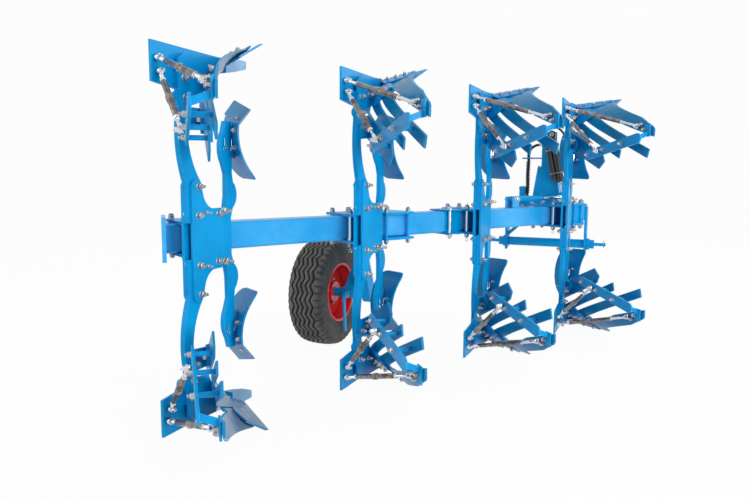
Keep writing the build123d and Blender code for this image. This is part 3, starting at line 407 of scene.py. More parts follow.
# the solids' own finishes; the beam's enamel is paler than its slot's, with pale patches of
# painted sheen
record_slots = {s["node"]: s["material_slot"] for s in frame["record"]["subparts"]}
for name, thing in frame["nodes"].items():
    thing.data.materials.clear()
    finish = "beam_blue" if name == "main_beam" else record_slots[name]
    thing.data.materials.append(FINISH[finish])

# ------------------------------------------------------------------ fasteners
NUT_HIGH = 0.6            # height, washer and thread radius: shares of the width across flats
WASHER_R = 0.66
THREAD_R = 0.31
WASHER_T = 0.003
THREAD_PITCH = 0.003
FLUSH_R = 0.0125          # radius of a countersunk head
CLIP_WIRE = 0.0022


def ridges(radius, start, end):
    """Profile of a threaded end: the radius drops by a tenth once in each pitch."""
    h = np.arange(start, end - 0.001, THREAD_PITCH / 2)
    r = np.where(np.arange(len(h)) % 2, radius * 0.9, radius)
    return list(zip(r, h)) + [(radius * 0.8, end), (0.0, end)]


def bolt(sheets, centre, axis, moves, across, stud=0.0, washer=True):
    """Hexagon nut or head on a washer, with a threaded end past it: surfaces of revolution
    stacked along the axis."""
    high = across * NUT_HIGH
    base = 0.0
    if washer:
        w = across * WASHER_R
        disc = [(0, -0.001), (w, -0.001), (w, 0.0022), (w * 0.95, WASHER_T), (0, WASHER_T)]
        sheets.copies(turned(disc, centre, axis, 18), moves)
        base = WASHER_T
    r = across / math.sqrt(3)
    top = base + high
    nut = [(0, base), (r, base), (r, top - 0.12 * high), (r * 0.86, top), (0, top)]
    sheets.copies(turned(nut, centre, axis, 6, corners=6), moves)
    if stud:
        thread = [(0, base)] + ridges(across * THREAD_R, top - 0.002, top + stud)
        sheets.copies(turned(thread, centre, axis, 10), moves)


def flush(sheets, centre, axis, moves):
    """Countersunk head, proud by a millimetre, with a shallow dish: (radius, height) rings
    carried round the axis."""
    r = FLUSH_R
    head = [(0, -0.002), (r, -0.002), (r, 0.0006), (r * 0.8, 0.0012), (r * 0.55, 0.0009),
            (0, 0.0007)]
    sheets.copies(turned(head, centre, axis, 16), moves)


def clip(sheets, centre, axis, moves, size):
    """Sprung locking pin: a straight leg through the pin and a ring beside it.  The path is
    a line followed by a turn of radius size / 2, and the wire is a tube along it."""
    axis, side, up = frame_of(axis)
    leg = np.linspace(-1.1, 0.7, 8)[:, None] * size * up
    angle = np.linspace(-math.pi / 2, 1.35 * math.pi, 20)[:, None]
    ring = 0.7 * size * up + 0.5 * size * (np.cos(angle) * side + (np.sin(angle) + 1) * up)
    path = np.asarray(centre) + axis * 0.004 + np.concatenate([leg, ring[1:]])
    sheets.copies(tube(path, CLIP_WIRE, 6), moves)


def hoop(sheets, centre, up_way, wide, high, wire, steps):
    """Wire bent to a ring: an ellipse of half widths wide ahead and high on the up way."""
    angle = np.linspace(0, 2 * math.pi, steps, endpoint=False)[:, None]
    ring = centre + wide * np.cos(angle) * AHEAD + high * np.sin(angle) * up_way
    sheets.copies(tube(ring, wire, 6, closed=True), ALONE, wrap_u=True)


def bar(sheets, start, end, radius, moves, steps=16):
    """Round bar with softened ends between two points."""
    start, end = np.asarray(start, float), np.asarray(end, float)
    long = np.linalg.norm(end - start)
    lip = min(0.1 * radius, 0.001)
    profile = [(0, 0), (radius - lip, 0), (radius, lip), (radius, long - lip),
               (radius - lip, long), (0, long)]
    sheets.copies(turned(profile, start, end - start, steps), moves)


# ------------------------------------------------------------------ working surface
# as in the solids: an arc up to WALL_Z and an upright wall above it
ALONG = np.array([-math.cos(BOARD_TURN), -math.sin(BOARD_TURN), 0.0])
BACK = np.array([-math.sin(BOARD_TURN), math.cos(BOARD_TURN), 0.0])
WALL_X = 0.454
TOE_RISE = math.radians(30)       # rise and width of the flat toe below the arc
TOE_WIDTH = 0.11
BOARD_R = 0.25
WALL_N = TOE_WIDTH * math.cos(TOE_RISE) + BOARD_R * (1 - math.sin(TOE_RISE))
WALL_Z = TOE_WIDTH * math.sin(TOE_RISE) + BOARD_R * math.cos(TOE_RISE)
BOARD_T = 0.0103                  # a slat or a share, and the gap behind it
FROG_T = 0.014
FOOT_T = 0.012                    # bars of the braces and their feet
BRACE_TOP = np.array([-0.251, -0.192, 0.415])
BRACE_RUN = ALONG * 0.515 - UP * 0.095
BRACE_PARTS = (0.03, 0.36, 0.71)  # where a brace holds the slats, as parts of its run


def on_board(u, z):
    """Point on the working surface and the way that leads behind it: on the arc the way leans
    with acos((WALL_Z - z) / R), above it it is level."""
    lean = math.acos(min(max((WALL_Z - z) / BOARD_R, 0.0), 1.0))
    way = math.sin(lean) * BACK - math.cos(lean) * UP
    n = WALL_N - BOARD_R + (BOARD_R * math.sin(lean) if z < WALL_Z else BOARD_R)
    return np.array([WALL_X, 0, z]) + ALONG * u + BACK * n, way


def behind_wall(point):
    """How far a point lies behind the upright wall's face."""
    return (point - [WALL_X, 0, 0]) @ BACK - WALL_N


# ------------------------------------------------------------------ bolts of the bodies
CHEEK_Y = -0.0515          # right face of the bracket's near cheek
FAR_Y = -0.0145            # right face of the far one
LEFT_Y = -0.0025           # and its left face
# x, height from the beam's middle, face, across the flats, threaded end
CHEEK_BOLTS = [(-0.011, 0.118, CHEEK_Y, 0.027, 0.010), (0.045, 0.129, CHEEK_Y, 0.016, 0.02),
               (0.140, 0.120, CHEEK_Y, 0.026, 0.008), (-0.058, 0.126, FAR_Y, 0.022, 0.0),
               (-0.009, -0.116, CHEEK_Y, 0.027, 0.010), (0.046, -0.125, CHEEK_Y, 0.016, 0.02),
               (0.128, -0.111, CHEEK_Y, 0.026, 0.008), (-0.058, -0.102, FAR_Y, 0.022, 0.0),
               (-0.005, 0.252, CHEEK_Y, 0.026, 0.020), (-0.005, -0.252, CHEEK_Y, 0.026, 0.020),
               (0.184, 0.130, CHEEK_Y + 0.003, 0.029, 0.028),
               (0.192, -0.118, CHEEK_Y + 0.003, 0.029, 0.028)]
# x and height on the left face
LEFT_BOLTS = [(-0.010, 0.116), (-0.010, -0.116), (-0.010, 0.252), (-0.010, -0.252),
              (0.060, 0.120), (0.060, -0.120)]
CLAMP_BOLTS = [(0.073, -0.1), (0.093, 0.1), (0.213, 0.1)]     # along the beam, left of it


def bracket_bolts():
    """Bolts through the cheeks and the clamp plates of every bracket."""
    sheets = Sheets()
    for x, high, face, across, stud in CHEEK_BOLTS:
        bolt(sheets, (x, face, AXIS_Z + high), -LEFT, PAIRS, across, stud)
    for x, high in LEFT_BOLTS:
        bolt(sheets, (x, LEFT_Y, AXIS_Z + high), LEFT, PAIRS, 0.030, 0.008)
    for along, left in CLAMP_BOLTS:
        for way in (1, -1):
            bolt(sheets, beam_spot(along, left, way * 0.085), way * UP, PAIRS, 0.028, 0.008)
    sheets.make("bracket_bolts", "plough_frame", "zinc_steel", STEEL, 30)


def clamp_bolt_shanks():
    """Bright shanks of the clamp bolts, beside the beam."""
    sheets = Sheets()
    for along, left in CLAMP_BOLTS:
        low, high = beam_spot(along, left, -0.0695), beam_spot(along, left, 0.0695)
        bar(sheets, low, high, 0.0165, PAIRS)
    sheets.make("clamp_bolt_shanks", "plough_frame", "chrome_rod", CHROME)


def cheek_seams():
    """Upright seam on the near cheek of every bracket: a thin round bar half sunk in it."""
    sheets = Sheets()
    middle = np.array([0.166, CHEEK_Y + 0.001, AXIS_Z])
    bar(sheets, middle - UP * 0.103, middle + UP * 0.103, 0.0035, PAIRS, 12)
    sheets.make("cheek_seams", "plough_frame", "frame_blue", BLUE)


def lock_pins():
    """Locking pins with rings beside the brackets and on the skimmer arms."""
    sheets = Sheets()
    for way in (1, -1):
        clip(sheets, beam_spot(*CLAMP_BOLTS[0], way * 0.108), AHEAD, PAIRS, 0.018)
    for x in (0.206, 0.262):
        for turn in BOTH:
            clip(sheets, turn((x, -0.0445, 0.412)), -LEFT, PAIRS, 0.020)
    sheets.make("lock_pins", "plough_frame", "zinc_steel", CHROME)


# along and height of the nuts behind the slats: at the frog and at the brace's foot
FROG_PADS = [(0.330, 0.105), (0.420, 0.115), (0.500, 0.120), (0.330, 0.290), (0.385, 0.315)]
FOOT_PADS = [(1.120, 0.232), (1.150, 0.262)]
# along the share and up it
SHARE_BOLTS = [(0.130, 0.076), (0.225, 0.085), (0.330, 0.088), (0.425, 0.085)]
EDGE_TURN = math.radians(50)      # from the cutting edge to the travel
EDGE_X = 0.356                    # cutting edge at the landside
SHARE_RISE = math.radians(32.75)
LANDSIDE_Y = -0.0022              # left face of the landsides
LANDSIDE_BOLTS = [(-0.160, 0.070), (-0.020, 0.120), (0.110, 0.060), (-0.190, 0.130)]
FROG_Y = -0.0518                  # right face of the frogs
FROG_BOLTS = [(-0.085, 0.140), (-0.080, 0.225), (0.030, 0.120), (-0.060, 0.300)]


def board_bolts():
    """Nuts behind the slats and the share, and countersunk heads on their faces."""
    nuts, heads = Sheets(), Sheets()
    for u, z in FROG_PADS:
        front, way = on_board(u, z)
        rear = front + way * (BOARD_T + FROG_T)
        for turn in BOTH:
            flush(heads, turn(front), turn(-way, 0), PAIRS)
            bolt(nuts, turn(rear), turn(way, 0), PAIRS, 0.022, 0.010)
    for part in BRACE_PARTS:
        spot = BRACE_TOP + BRACE_RUN * part
        face = spot - BACK * behind_wall(spot)
        for turn in BOTH:
            bolt(nuts, turn(spot + BACK * FOOT_T / 2), BACK, PAIRS, 0.022, 0.012)
            flush(heads, turn(face), -BACK, PAIRS)
    for u, z in FOOT_PADS:
        front, way = on_board(u, z)
        rear = front + way * (BOARD_T + FOOT_T)
        for turn in BOTH:
            flush(heads, turn(front), -way, PAIRS)
            bolt(nuts, turn(rear), way, PAIRS, 0.020, 0.006)
    edge_way = np.array([-math.cos(EDGE_TURN), -math.sin(EDGE_TURN), 0.0])
    level = np.array([-math.sin(EDGE_TURN), math.cos(EDGE_TURN), 0.0])
    down = level * math.sin(SHARE_RISE) - UP * math.cos(SHARE_RISE)
    rise_way = level * math.cos(SHARE_RISE) + UP * math.sin(SHARE_RISE)
    for along, rise in SHARE_BOLTS:
        face = AHEAD * EDGE_X + edge_way * along + rise_way * rise
        rear = face + down * (BOARD_T + FROG_T)
        for turn in BOTH:
            flush(heads, turn(face), turn(-down, 0), PAIRS)
            bolt(nuts, turn(rear), turn(down, 0), PAIRS, 0.022, 0.005)
    for x, z in LANDSIDE_BOLTS:
        for turn in BOTH:
            flush(heads, turn((x, LANDSIDE_Y, z)), LEFT, PAIRS)
    for x, z in FROG_BOLTS:
        for turn in BOTH:
            bolt(nuts, turn((x, FROG_Y, z)), -LEFT, PAIRS, 0.026, 0.012)
    nuts.make("board_nuts", "plough_frame", "zinc_steel", STEEL, 30)
    heads.make("board_bolt_heads", "plough_frame", "zinc_steel", STEEL, 30)


bracket_bolts()
clamp_bolt_shanks()
cheek_seams()
lock_pins()
board_bolts()

# ------------------------------------------------------------------ wheel
TYRE_R = 0.369
HUB_SPOT = np.array([1.540, 0.082, TYRE_R])     # in the design
HUB = row(HUB_SPOT)
TREAD_HALF = 0.103                # half the crown's width
TREAD_POINTS = 112
GROOVES = (-0.068, -0.034, 0.0, 0.034, 0.068)
GROOVE_DEPTH = 0.011
ZIGZAGS = 24
WAVE = 0.022                      # width of the zig-zag, across the tread


def tyre_shape():
    """Tyre with five zig-zag grooves.  The section is a crown whose radius falls with the
    power 2.6 of the distance from the middle, two bulging walls and a flat seat.  A groove is
    a dip round a triangle wave along the way round: full to 4 mm from the wave, gone at 8 mm.
    The shoulders are notched once in each half wave."""
    across = np.linspace(-TREAD_HALF, TREAD_HALF, TREAD_POINTS)
    fall = 0.0125 * np.abs(across / TREAD_HALF) ** 2.6
    crown = np.stack([across, TYRE_R - fall], -1)
    wall = np.array([(0.1115, 0.344), (0.1175, 0.326), (0.1215, 0.303), (0.1222, 0.280),
                     (0.1205, 0.256), (0.1165, 0.238), (0.1150, 0.236), (0.1140, 0.226),
                     (0.1120, 0.214), (0.1060, 0.205), (0.0990, 0.2004)])
    section = np.concatenate([crown, wall, wall[::-1] * [-1, 1]])
    y, r = section.T
    angle = np.linspace(0, 2 * math.pi, 12 * ZIGZAGS, endpoint=False)
    phase = angle * ZIGZAGS / (2 * math.pi)
    wave = (np.abs((phase % 1) * 2 - 1) - 0.5) * WAVE
    groove = np.zeros((len(section), len(angle)))
    for middle in GROOVES:
        off = np.abs(y[:, None] - middle - wave[None])
        groove = np.maximum(groove, np.clip(1.8 - off / 0.0046, 0, 1))
    on_crown = np.arange(len(section)) < TREAD_POINTS
    shoulder = np.clip((np.abs(y) - 0.086) / 0.006, 0, 1) * np.clip((r - 0.318) / 0.008, 0, 1)
    bite = np.clip(np.abs((phase * 2) % 1 - 0.5) * 8 - 2.4, 0, 1)
    dip = np.maximum(groove * on_crown[:, None], shoulder[:, None] * bite[None] * 0.8)
    reach = r[:, None] - GROOVE_DEPTH * dip
    p = np.stack([reach * np.cos(angle), np.broadcast_to(y[:, None], reach.shape),
                  reach * np.sin(angle)], -1) + HUB
    sheets = Sheets()
    sheets.grid(p, wrap_u=True)
    tyre = sheets.make("tyre_tread", "wheel", "tyre", TYRE_RUBBER, 28)
    # the groove attribute is painted shade: full down in the grooves and 0.45 on the walls
    painted_shade = tyre.data.attributes.new("groove", "FLOAT", "POINT")
    wall_shade = 0.45 * (r < 0.345)[:, None]
    painted_shade.data.foreach_set("value", np.maximum(dip, wall_shade).ravel())
    return tyre


def rim_dish():
    """Rim beads and the dished wheel disc: rings of (radius, height) carried round the axle."""
    sheets = Sheets()
    bead = [(0.190, -0.006), (0.203, -0.006), (0.2068, 0.000), (0.203, 0.0052),
            (0.196, 0.0056), (0.190, 0.0)]
    dish = [(0.0, 0.012), (0.070, 0.012), (0.155, 0.030), (0.178, 0.020), (0.189, -0.004),
            (0.189, -0.012), (0.174, 0.008), (0.152, 0.018), (0.070, 0.001), (0.0, 0.001)]
    for way in (1, -1):
        sheets.grid(turned(bead, HUB + LEFT * way * 0.1075, way * LEFT, 96), wrap_u=True)
    sheets.grid(turned(dish, HUB, -LEFT, 96))
    sheets.make("rim_dish", "wheel", "rim_red", FINISH["rim_red"])


def wheel_nuts():
    """Five wheel nuts on a circle, and the valve."""
    sheets = Sheets()
    for a in np.arange(5) * 2 * math.pi / 5:
        spot = np.array([math.cos(a), 0, math.sin(a)]) * 0.088
        bolt(sheets, HUB + spot - LEFT * 0.0155, -LEFT, HERE, 0.024, 0.010)
    bar(sheets, HUB + (0.158, -0.016, 0.03), HUB + (0.164, -0.072, 0.031), 0.004, HERE, 8)
    sheets.make("wheel_nuts", "wheel", "zinc_steel", STEEL, 30)


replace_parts(tyre_shape(), "wheel_tyre")
rim_dish()
wheel_nuts()

# ------------------------------------------------------------------ braces and stays
PLATE_LIP = 0.0015
WELD_R = 0.004


def plate(sheets, points, start, x_way, y_way, thick, moves, lip=PLATE_LIP):
    """Flat plate with softened rims: its outline is laid on two ways from start, and rings of
    it, drawn in by the lip at the faces, close on the outline's middle."""
    flat = np.asarray(points, float)
    middle = flat.mean(0)
    away = flat - middle
    inner = middle + away * (1 - lip / np.linalg.norm(away, axis=1))[:, None]
    rings = [(middle + 0 * flat, 0), (inner, 0), (flat, lip), (flat, thick - lip),
             (inner, thick), (middle + 0 * flat, thick)]
    z_way = np.cross(x_way, y_way)
    p = np.stack([start + r[:, :1] * x_way + r[:, 1:] * y_way + h * z_way for r, h in rings])
    sheets.copies(p, moves)


def rounded(long, wide):
    """Outline of a bar with half-round ends: two half circles of half the width."""
    a = np.linspace(-math.pi / 2, math.pi / 2, 10)
    r = wide / 2
    tip = np.stack([long + r * np.cos(a), r * np.sin(a)], -1)
    return np.concatenate([tip, -tip + [long, 0]])


def weld(sheets, start, end, moves):
    """Weld bead: a bar whose radius ripples with the cosine of the way along it."""
    start, end = np.asarray(start, float), np.asarray(end, float)
    steps = max(int(np.linalg.norm(end - start) / 0.0025), 4)
    t = np.linspace(0, 1, steps)[:, None]
    ripple = WELD_R * (1 + 0.16 * np.cos(np.arange(steps) * math.pi / 1.5))
    sheets.copies(tube(start + (end - start) * t, ripple, 6), moves)


def slat_braces():
    """Flat bars across the slats' backs, with round spacers, and at the low end an arm down to
    a pad on the slat."""
    sheets = Sheets()
    end = BRACE_TOP + BRACE_RUN
    reach = behind_wall(end) - BOARD_T
    arm = [(0.0, 0.014), (0.0, -0.016), (reach, -0.048), (reach, -0.018)]
    pad = [(-0.026, -0.092), (0.026, -0.092), (0.026, -0.012), (-0.026, -0.012)]
    flat = rounded(np.linalg.norm(BRACE_RUN), 0.066)
    for turn in BOTH:
        run_way, up_way = turn(unit(BRACE_RUN), 0), turn(UP, 0)
        wide_way = unit(np.cross(BACK, run_way))
        plate(sheets, flat, turn(BRACE_TOP) - BACK * FOOT_T / 2, run_way, wide_way, FOOT_T, PAIRS)
        for part in BRACE_PARTS:
            spot = BRACE_TOP + BRACE_RUN * part
            seat = spot - BACK * (behind_wall(spot) - BOARD_T)
            bar(sheets, turn(spot), turn(seat), 0.0112, PAIRS)
        arm_side = np.cross(-BACK, up_way) * FOOT_T / 2
        plate(sheets, arm, turn(end) - arm_side, -BACK, up_way, FOOT_T, PAIRS)
        pad_side = np.cross(ALONG, up_way) * 0.005
        pad_start = turn(end) - BACK * (reach - 0.005) - pad_side
        plate(sheets, pad, pad_start, ALONG, up_way, 0.010, PAIRS)
    return sheets.make("slat_brace_bars", "plough_frame", "frame_blue", BLUE)


SKIMMER_TURN = math.radians(52)
SKIMMER_R = 0.317                 # of the board's hollow
SKIMMER_T = 0.008
SKIMMER_SAG = 0.066               # depth of the hollow
SKIMMER_Z = 0.365                 # height of the arc's middle


def skimmer_bolts():
    """Nuts behind the skimmers: two on the board's arc, whose way out is the radius through
    them, and two on the flat share."""
    sheets = Sheets()
    ahead = np.array([math.cos(SKIMMER_TURN), math.sin(SKIMMER_TURN), 0.0])
    behind = np.array([-math.sin(SKIMMER_TURN), math.cos(SKIMMER_TURN), 0.0])
    wing = np.array([0.266, -0.168, 0.0])
    under = 0.788 * behind - 0.615 * UP
    outside = SKIMMER_R + SKIMMER_T
    for turn in BOTH:
        for along, z in ((0.040, 0.350), (0.062, 0.430)):
            out = math.sqrt(outside ** 2 - (z - SKIMMER_Z) ** 2)
            back = SKIMMER_SAG - SKIMMER_R + out
            spot = wing + ahead * along + behind * back + UP * z
            way = (behind * out + UP * (z - SKIMMER_Z)) / outside
            bolt(sheets, turn(spot), turn(way, 0), PAIRS, 0.020, 0.006)
        for along in (0.060, 0.125):
            spot = wing + ahead * along + behind * 0.040 + UP * 0.298 + under * 0.0082
            bolt(sheets, turn(spot), turn(under, 0), PAIRS, 0.020, 0.006)
    sheets.make("skimmer_nuts", "plough_frame", "zinc_steel", STEEL, 30)


STAY_ROD_R = 0.0088


def stay(rods, sleeves, start, end, rear_way, front_way, moves):
    """Stay of adjustable length: an eye bolted at each end, threaded rods, and a sleeve with
    a hexagon in its middle between two lock nuts."""
    run = end - start
    long = np.linalg.norm(run)
    way = run / long
    near, far = 0.19 * long, 0.79 * long
    half = (far - near) / 2
    eye = [(0.007, -0.010), (0.0150, -0.010), (0.016, -0.008), (0.016, 0.008),
           (0.0150, 0.010), (0.007, 0.010), (0.007, -0.010)]
    for point, bolt_way in ((start, rear_way), (end, front_way)):
        rods.copies(turned(eye, point, bolt_way, 20), moves)
        bolt(rods, point + bolt_way * 0.010, bolt_way, moves, 0.021, 0.006)
    for tip, length, out in ((start, near, way), (end, long - far, -way)):
        thread = ridges(STAY_ROD_R, length * 0.45, length + 0.004)[:-2]
        rod = [(0, 0.006), (STAY_ROD_R, 0.012), (STAY_ROD_R, length * 0.45), *thread,
               (0, length + 0.004)]
        rods.copies(turned(rod, tip, out, 10), moves)
        bolt(rods, tip + out * (length - 0.013), out, moves, 0.024, washer=False)
    sleeve = [(0.009, 0), (0.0125, 0), (0.0135, 0.004), (0.0135, half - 0.020),
              (0.0155, half - 0.016), (0.0155, half + 0.016), (0.0135, half + 0.020),
              (0.0135, 2 * half - 0.004), (0.0125, 2 * half), (0.009, 2 * half), (0.009, 0)]
    grip = [(0, half - 0.014), (0.0185, half - 0.014), (0.0185, half + 0.014),
            (0, half + 0.014)]
    sleeves.copies(turned(sleeve, start + way * near, way, 18), moves)
    sleeves.copies(turned(grip, start + way * near, way, 6, corners=6), moves)


def stays():
    """The two stays of every body."""
    rods, sleeves = Sheets(), Sheets()
    rear_y = -0.0305              # face of the landside's lug
    on_brace = BRACE_TOP + BRACE_RUN * 0.27 + BACK * 0.0223
    on_slat = np.array([WALL_X, 0, 0.235]) + ALONG * 1.088 + BACK * (WALL_N + 0.0263)
    for x, z, end in ((-0.214, 0.127, on_brace), (-0.222, 0.072, on_slat)):
        for turn in BOTH:
            stay(rods, sleeves, turn((x, rear_y, z)), turn(end), -LEFT, BACK, PAIRS)
    made = rods.make("stay_rods", "plough_frame", "zinc_steel", CHROME, 30)
    sleeves.make("stay_sleeves", "plough_frame", "zinc_steel", DARK_STEEL, 30)
    return made


BARREL = 0.36                     # length of the link's barrel


def beam_link():
    """Adjusting link on top of the beam: a painted barrel, a plated rod and its pins."""
    blue, rods = Sheets(), Sheets()
    start = beam_middle(2.43) + UP * 0.132
    end = start + BEAM_WAY * (0.632 / math.cos(SLANT))
    for near, far, radius in ((0.01, BARREL, 0.0235), (BARREL, BARREL + 0.015, 0.019)):
        bar(blue, start + BEAM_WAY * near, start + BEAM_WAY * far, radius, ALONE, 24)
    eye = [(0.01, -0.016), (0.024, -0.016), (0.024, 0.016), (0.01, 0.016), (0.01, -0.016)]
    for point in (start, end):
        blue.copies(turned(eye, point, BEAM_SIDE, 24), ALONE)
    blue.make("beam_link_barrel", "plough_frame", "frame_blue", BLUE)
    rod = [(0, BARREL), (0.013, BARREL), (0.013, 0.52), *ridges(0.013, 0.52, 0.69)]
    rods.copies(turned(rod, start, BEAM_WAY, 16), ALONE)
    bolt(rods, start + BEAM_WAY * 0.60, BEAM_WAY, ALONE, 0.036, washer=False)
    for point in (start, end):
        for out in (BEAM_SIDE, -BEAM_SIDE):
            bolt(rods, point + out * 0.0383, out, ALONE, 0.028, 0.010)
    rods.make("beam_link_rod", "plough_frame", "zinc_steel", CHROME, 30)


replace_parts(slat_braces(), "slat_braces")
skimmer_bolts()
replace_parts(stays(), "stays")
beam_link()


# ------------------------------------------------------------------ headstock, wheel arm and beam
LAST_X = 3 * PITCH                # place of the foremost pair
TURN_Y = 0.22 - 3 * FURROW        # the turnover's axis
MAST_X = LAST_X + 0.66            # rear face of the mast
MAST_T = 0.12
MAST_FOOT = AXIS_Z + 0.07
HITCH = np.array([MAST_X + 0.075, TURN_Y, 0.59])
CYL_X = MAST_X - 0.06
CYL_TOP = np.array([CYL_X, TURN_Y - 0.044, 1.53])
CYL_EYE = np.array([CYL_X, TURN_Y - 0.156, AXIS_Z + 0.136])
CYL_WAY = unit(CYL_EYE - CYL_TOP)
HOSE_X = MAST_X + 0.042           # between the two supply hoses
HOSE_Y = TURN_Y + 0.168
HOSE_OUT = 0.013                  # from there to each
HOSE_END_R = 0.0128
CARRIER_X = LAST_X + 0.322        # rear of the turnover carrier
ARM_PIVOT = beam_middle(1.31)
SLEEVE_BOLT = (-0.088, -0.092)    # along the beam, left of it


def beam_sleeve():
    """Clamp round the beam behind the third bracket: plates on three faces and one bolt."""
    blue, steel = Sheets(), Sheets()
    third = PAIRS[2:3]
    start, end, low, high = -0.112, 0.040, -0.082, 0.082
    face = [(start, low), (end, low), (end, high), (start, high)]
    strip = [(start, -0.108), (end, -0.108), (end, 0.072), (start, 0.072)]
    plate(blue, face, beam_spot(0, -0.0705, 0), BEAM_WAY, UP, 0.006, third)
    for level in (-high, high - 0.010):
        plate(blue, strip, beam_spot(0, 0, level), BEAM_WAY, BEAM_SIDE, 0.010, third)
    for way in (1, -1):
        bolt(steel, beam_spot(*SLEEVE_BOLT, way * high), way * UP, third, 0.028, 0.008)
    bar(steel, beam_spot(*SLEEVE_BOLT, -0.072), beam_spot(*SLEEVE_BOLT, 0.072), 0.0130, third)
    blue.make("beam_sleeve", "plough_frame", "frame_blue", BLUE)
    steel.make("sleeve_bolt", "plough_frame", "chrome_rod", CHROME, 30)


def headstock_trim():
    """Bolts, pins, hose ends and welds of the headstock.  The bearing's screws stand on a
    circle, eight to the turn."""
    steel, blue = Sheets(), Sheets()
    for a in math.pi * (np.arange(8) + 0.5) / 4:
        spot = np.array([MAST_X - 0.024, TURN_Y, AXIS_Z])
        bolt(steel, spot + 0.077 * (math.cos(a) * LEFT + math.sin(a) * UP), -AHEAD, ALONE, 0.016)
    for y in (-0.27, -0.20, 0.20, 0.27):
        for z in (-0.042, 0.042):
            spot = np.array([MAST_X, TURN_Y + y, AXIS_Z + z])
            bolt(steel, spot + AHEAD * MAST_T, AHEAD, ALONE, 0.024, 0.006)
            bolt(steel, spot, -AHEAD, ALONE, 0.024, 0.006)
    bolt(steel, CYL_TOP - AHEAD * 0.04, -AHEAD, ALONE, 0.030)
    collar = [(0.0385, 0), (0.050, 0), (0.050, 0.020), (0.0385, 0.020), (0.0385, 0)]
    for out in (LEFT, -LEFT):
        tip = HITCH + out * 0.4925
        bar(steel, tip - UP * 0.026, tip + UP * 0.030, 0.0045, ALONE, 10)
        hoop(steel, tip + UP * 0.012, UP, 0.021, 0.021, 0.0018, 28)
        blue.copies(turned(collar, HITCH + out * 0.3525, out, 28), ALONE)
        bolt(steel, HITCH + out * 0.3625 + AHEAD * 0.050, AHEAD, ALONE, 0.014)
    for side in (1, -1):
        x = HOSE_X + side * HOSE_OUT
        foot = np.array([x, HOSE_Y + side * 0.004, AXIS_Z + 0.104])
        bar(steel, foot, foot + UP * 0.034, HOSE_END_R, ALONE)
        bolt(steel, foot - UP * 0.016, UP, ALONE, 0.028, washer=False)
        ear = np.array([x, TURN_Y + 0.047, 1.4485])
        bar(steel, ear, ear + LEFT * 0.030, HOSE_END_R, ALONE)
        bolt(steel, ear, LEFT, ALONE, 0.028, washer=False)
    cap = [(0, 0.012), (0.020, 0.011), (0.030, 0.004), (0.0305, -0.016), (0.0285, -0.018),
           (0, -0.018)]
    blue.copies(turned(cap, (MAST_X + 0.022, TURN_Y + 0.208, 1.0755), UP, 28), ALONE)
    weld(blue, (MAST_X, TURN_Y - 0.122, MAST_FOOT), (MAST_X, TURN_Y + 0.122, MAST_FOOT), ALONE)
    for way in (1, -1):
        y = TURN_Y + way * 0.126
        weld(blue, (MAST_X, y, MAST_FOOT), (MAST_X + MAST_T, y, MAST_FOOT), ALONE)
        y = TURN_Y + way * 0.048
        weld(blue, (MAST_X + 0.014, y, 1.172), (MAST_X + 0.014, y, 1.262), ALONE)
    steel.make("headstock_bolts", "headstock", "zinc_steel", STEEL, 30)
    blue.make("headstock_welds", "headstock", "frame_blue", BLUE)


def hose_guard():
    """Spiral guard round the two supply hoses: a helix on an oval, one turn in 14 mm, with 14
    points to the turn."""
    turns = 21
    t = np.linspace(0, 1, turns * 14)
    a = t * turns * 2 * math.pi
    path = np.stack([HOSE_X + 0.0265 * np.cos(a), HOSE_Y + 0.0165 * np.sin(a),
                     1.022 + 0.285 * t], -1)
    sheets = Sheets()
    sheets.copies(tube(path, 0.0032, 6), ALONE)
    sheets.make("hose_guard", "headstock", "hose_rubber", FINISH["hose_rubber"])


def cylinder_trim():
    """Gland, clamps and hose ends on the cylinder's barrel, and the rod eye's pin."""
    steel, black, rod = Sheets(), Sheets(), Sheets()
    gland = [(0.020, 0.0), (0.037, 0.0), (0.039, 0.004), (0.039, 0.020), (0.036, 0.024),
             (0.020, 0.024), (0.020, 0.0)]
    low = CYL_TOP + CYL_WAY * 0.41
    black.copies(turned(gland, low - CYL_WAY * 0.022, CYL_WAY, 32), ALONE)
    out = unit(np.cross(AHEAD, CYL_WAY))
    for part in (0.13, 0.33):
        middle = CYL_TOP + CYL_WAY * part + out * 0.026
        hoop(steel, middle, out, 0.0335, 0.0585, 0.0025, 40)
    side_port = CYL_TOP + CYL_WAY * 0.085 + out * 0.052
    hose_way = unit(np.array([0, -0.64, 0.768]))
    port = CYL_TOP + CYL_WAY * 0.215 + hose_way * 0.054
    for spot, way in ((side_port, -CYL_WAY), (port, hose_way)):
        bar(steel, spot, spot + way * 0.030, 0.0112, ALONE, 14)
        bolt(steel, spot, way, ALONE, 0.024, washer=False)
    for way in (AHEAD, -AHEAD):
        bolt(rod, CYL_EYE + way * 0.022, way, ALONE, 0.030)
    steel.make("hose_ends", "cylinder_barrel", "zinc_steel", STEEL, 30)
    black.make("cylinder_gland", "cylinder_barrel", "black_paint", FINISH["black_paint"])
    rod.make("rod_eye_pin", "cylinder_rod", "chrome_rod", STEEL, 30)


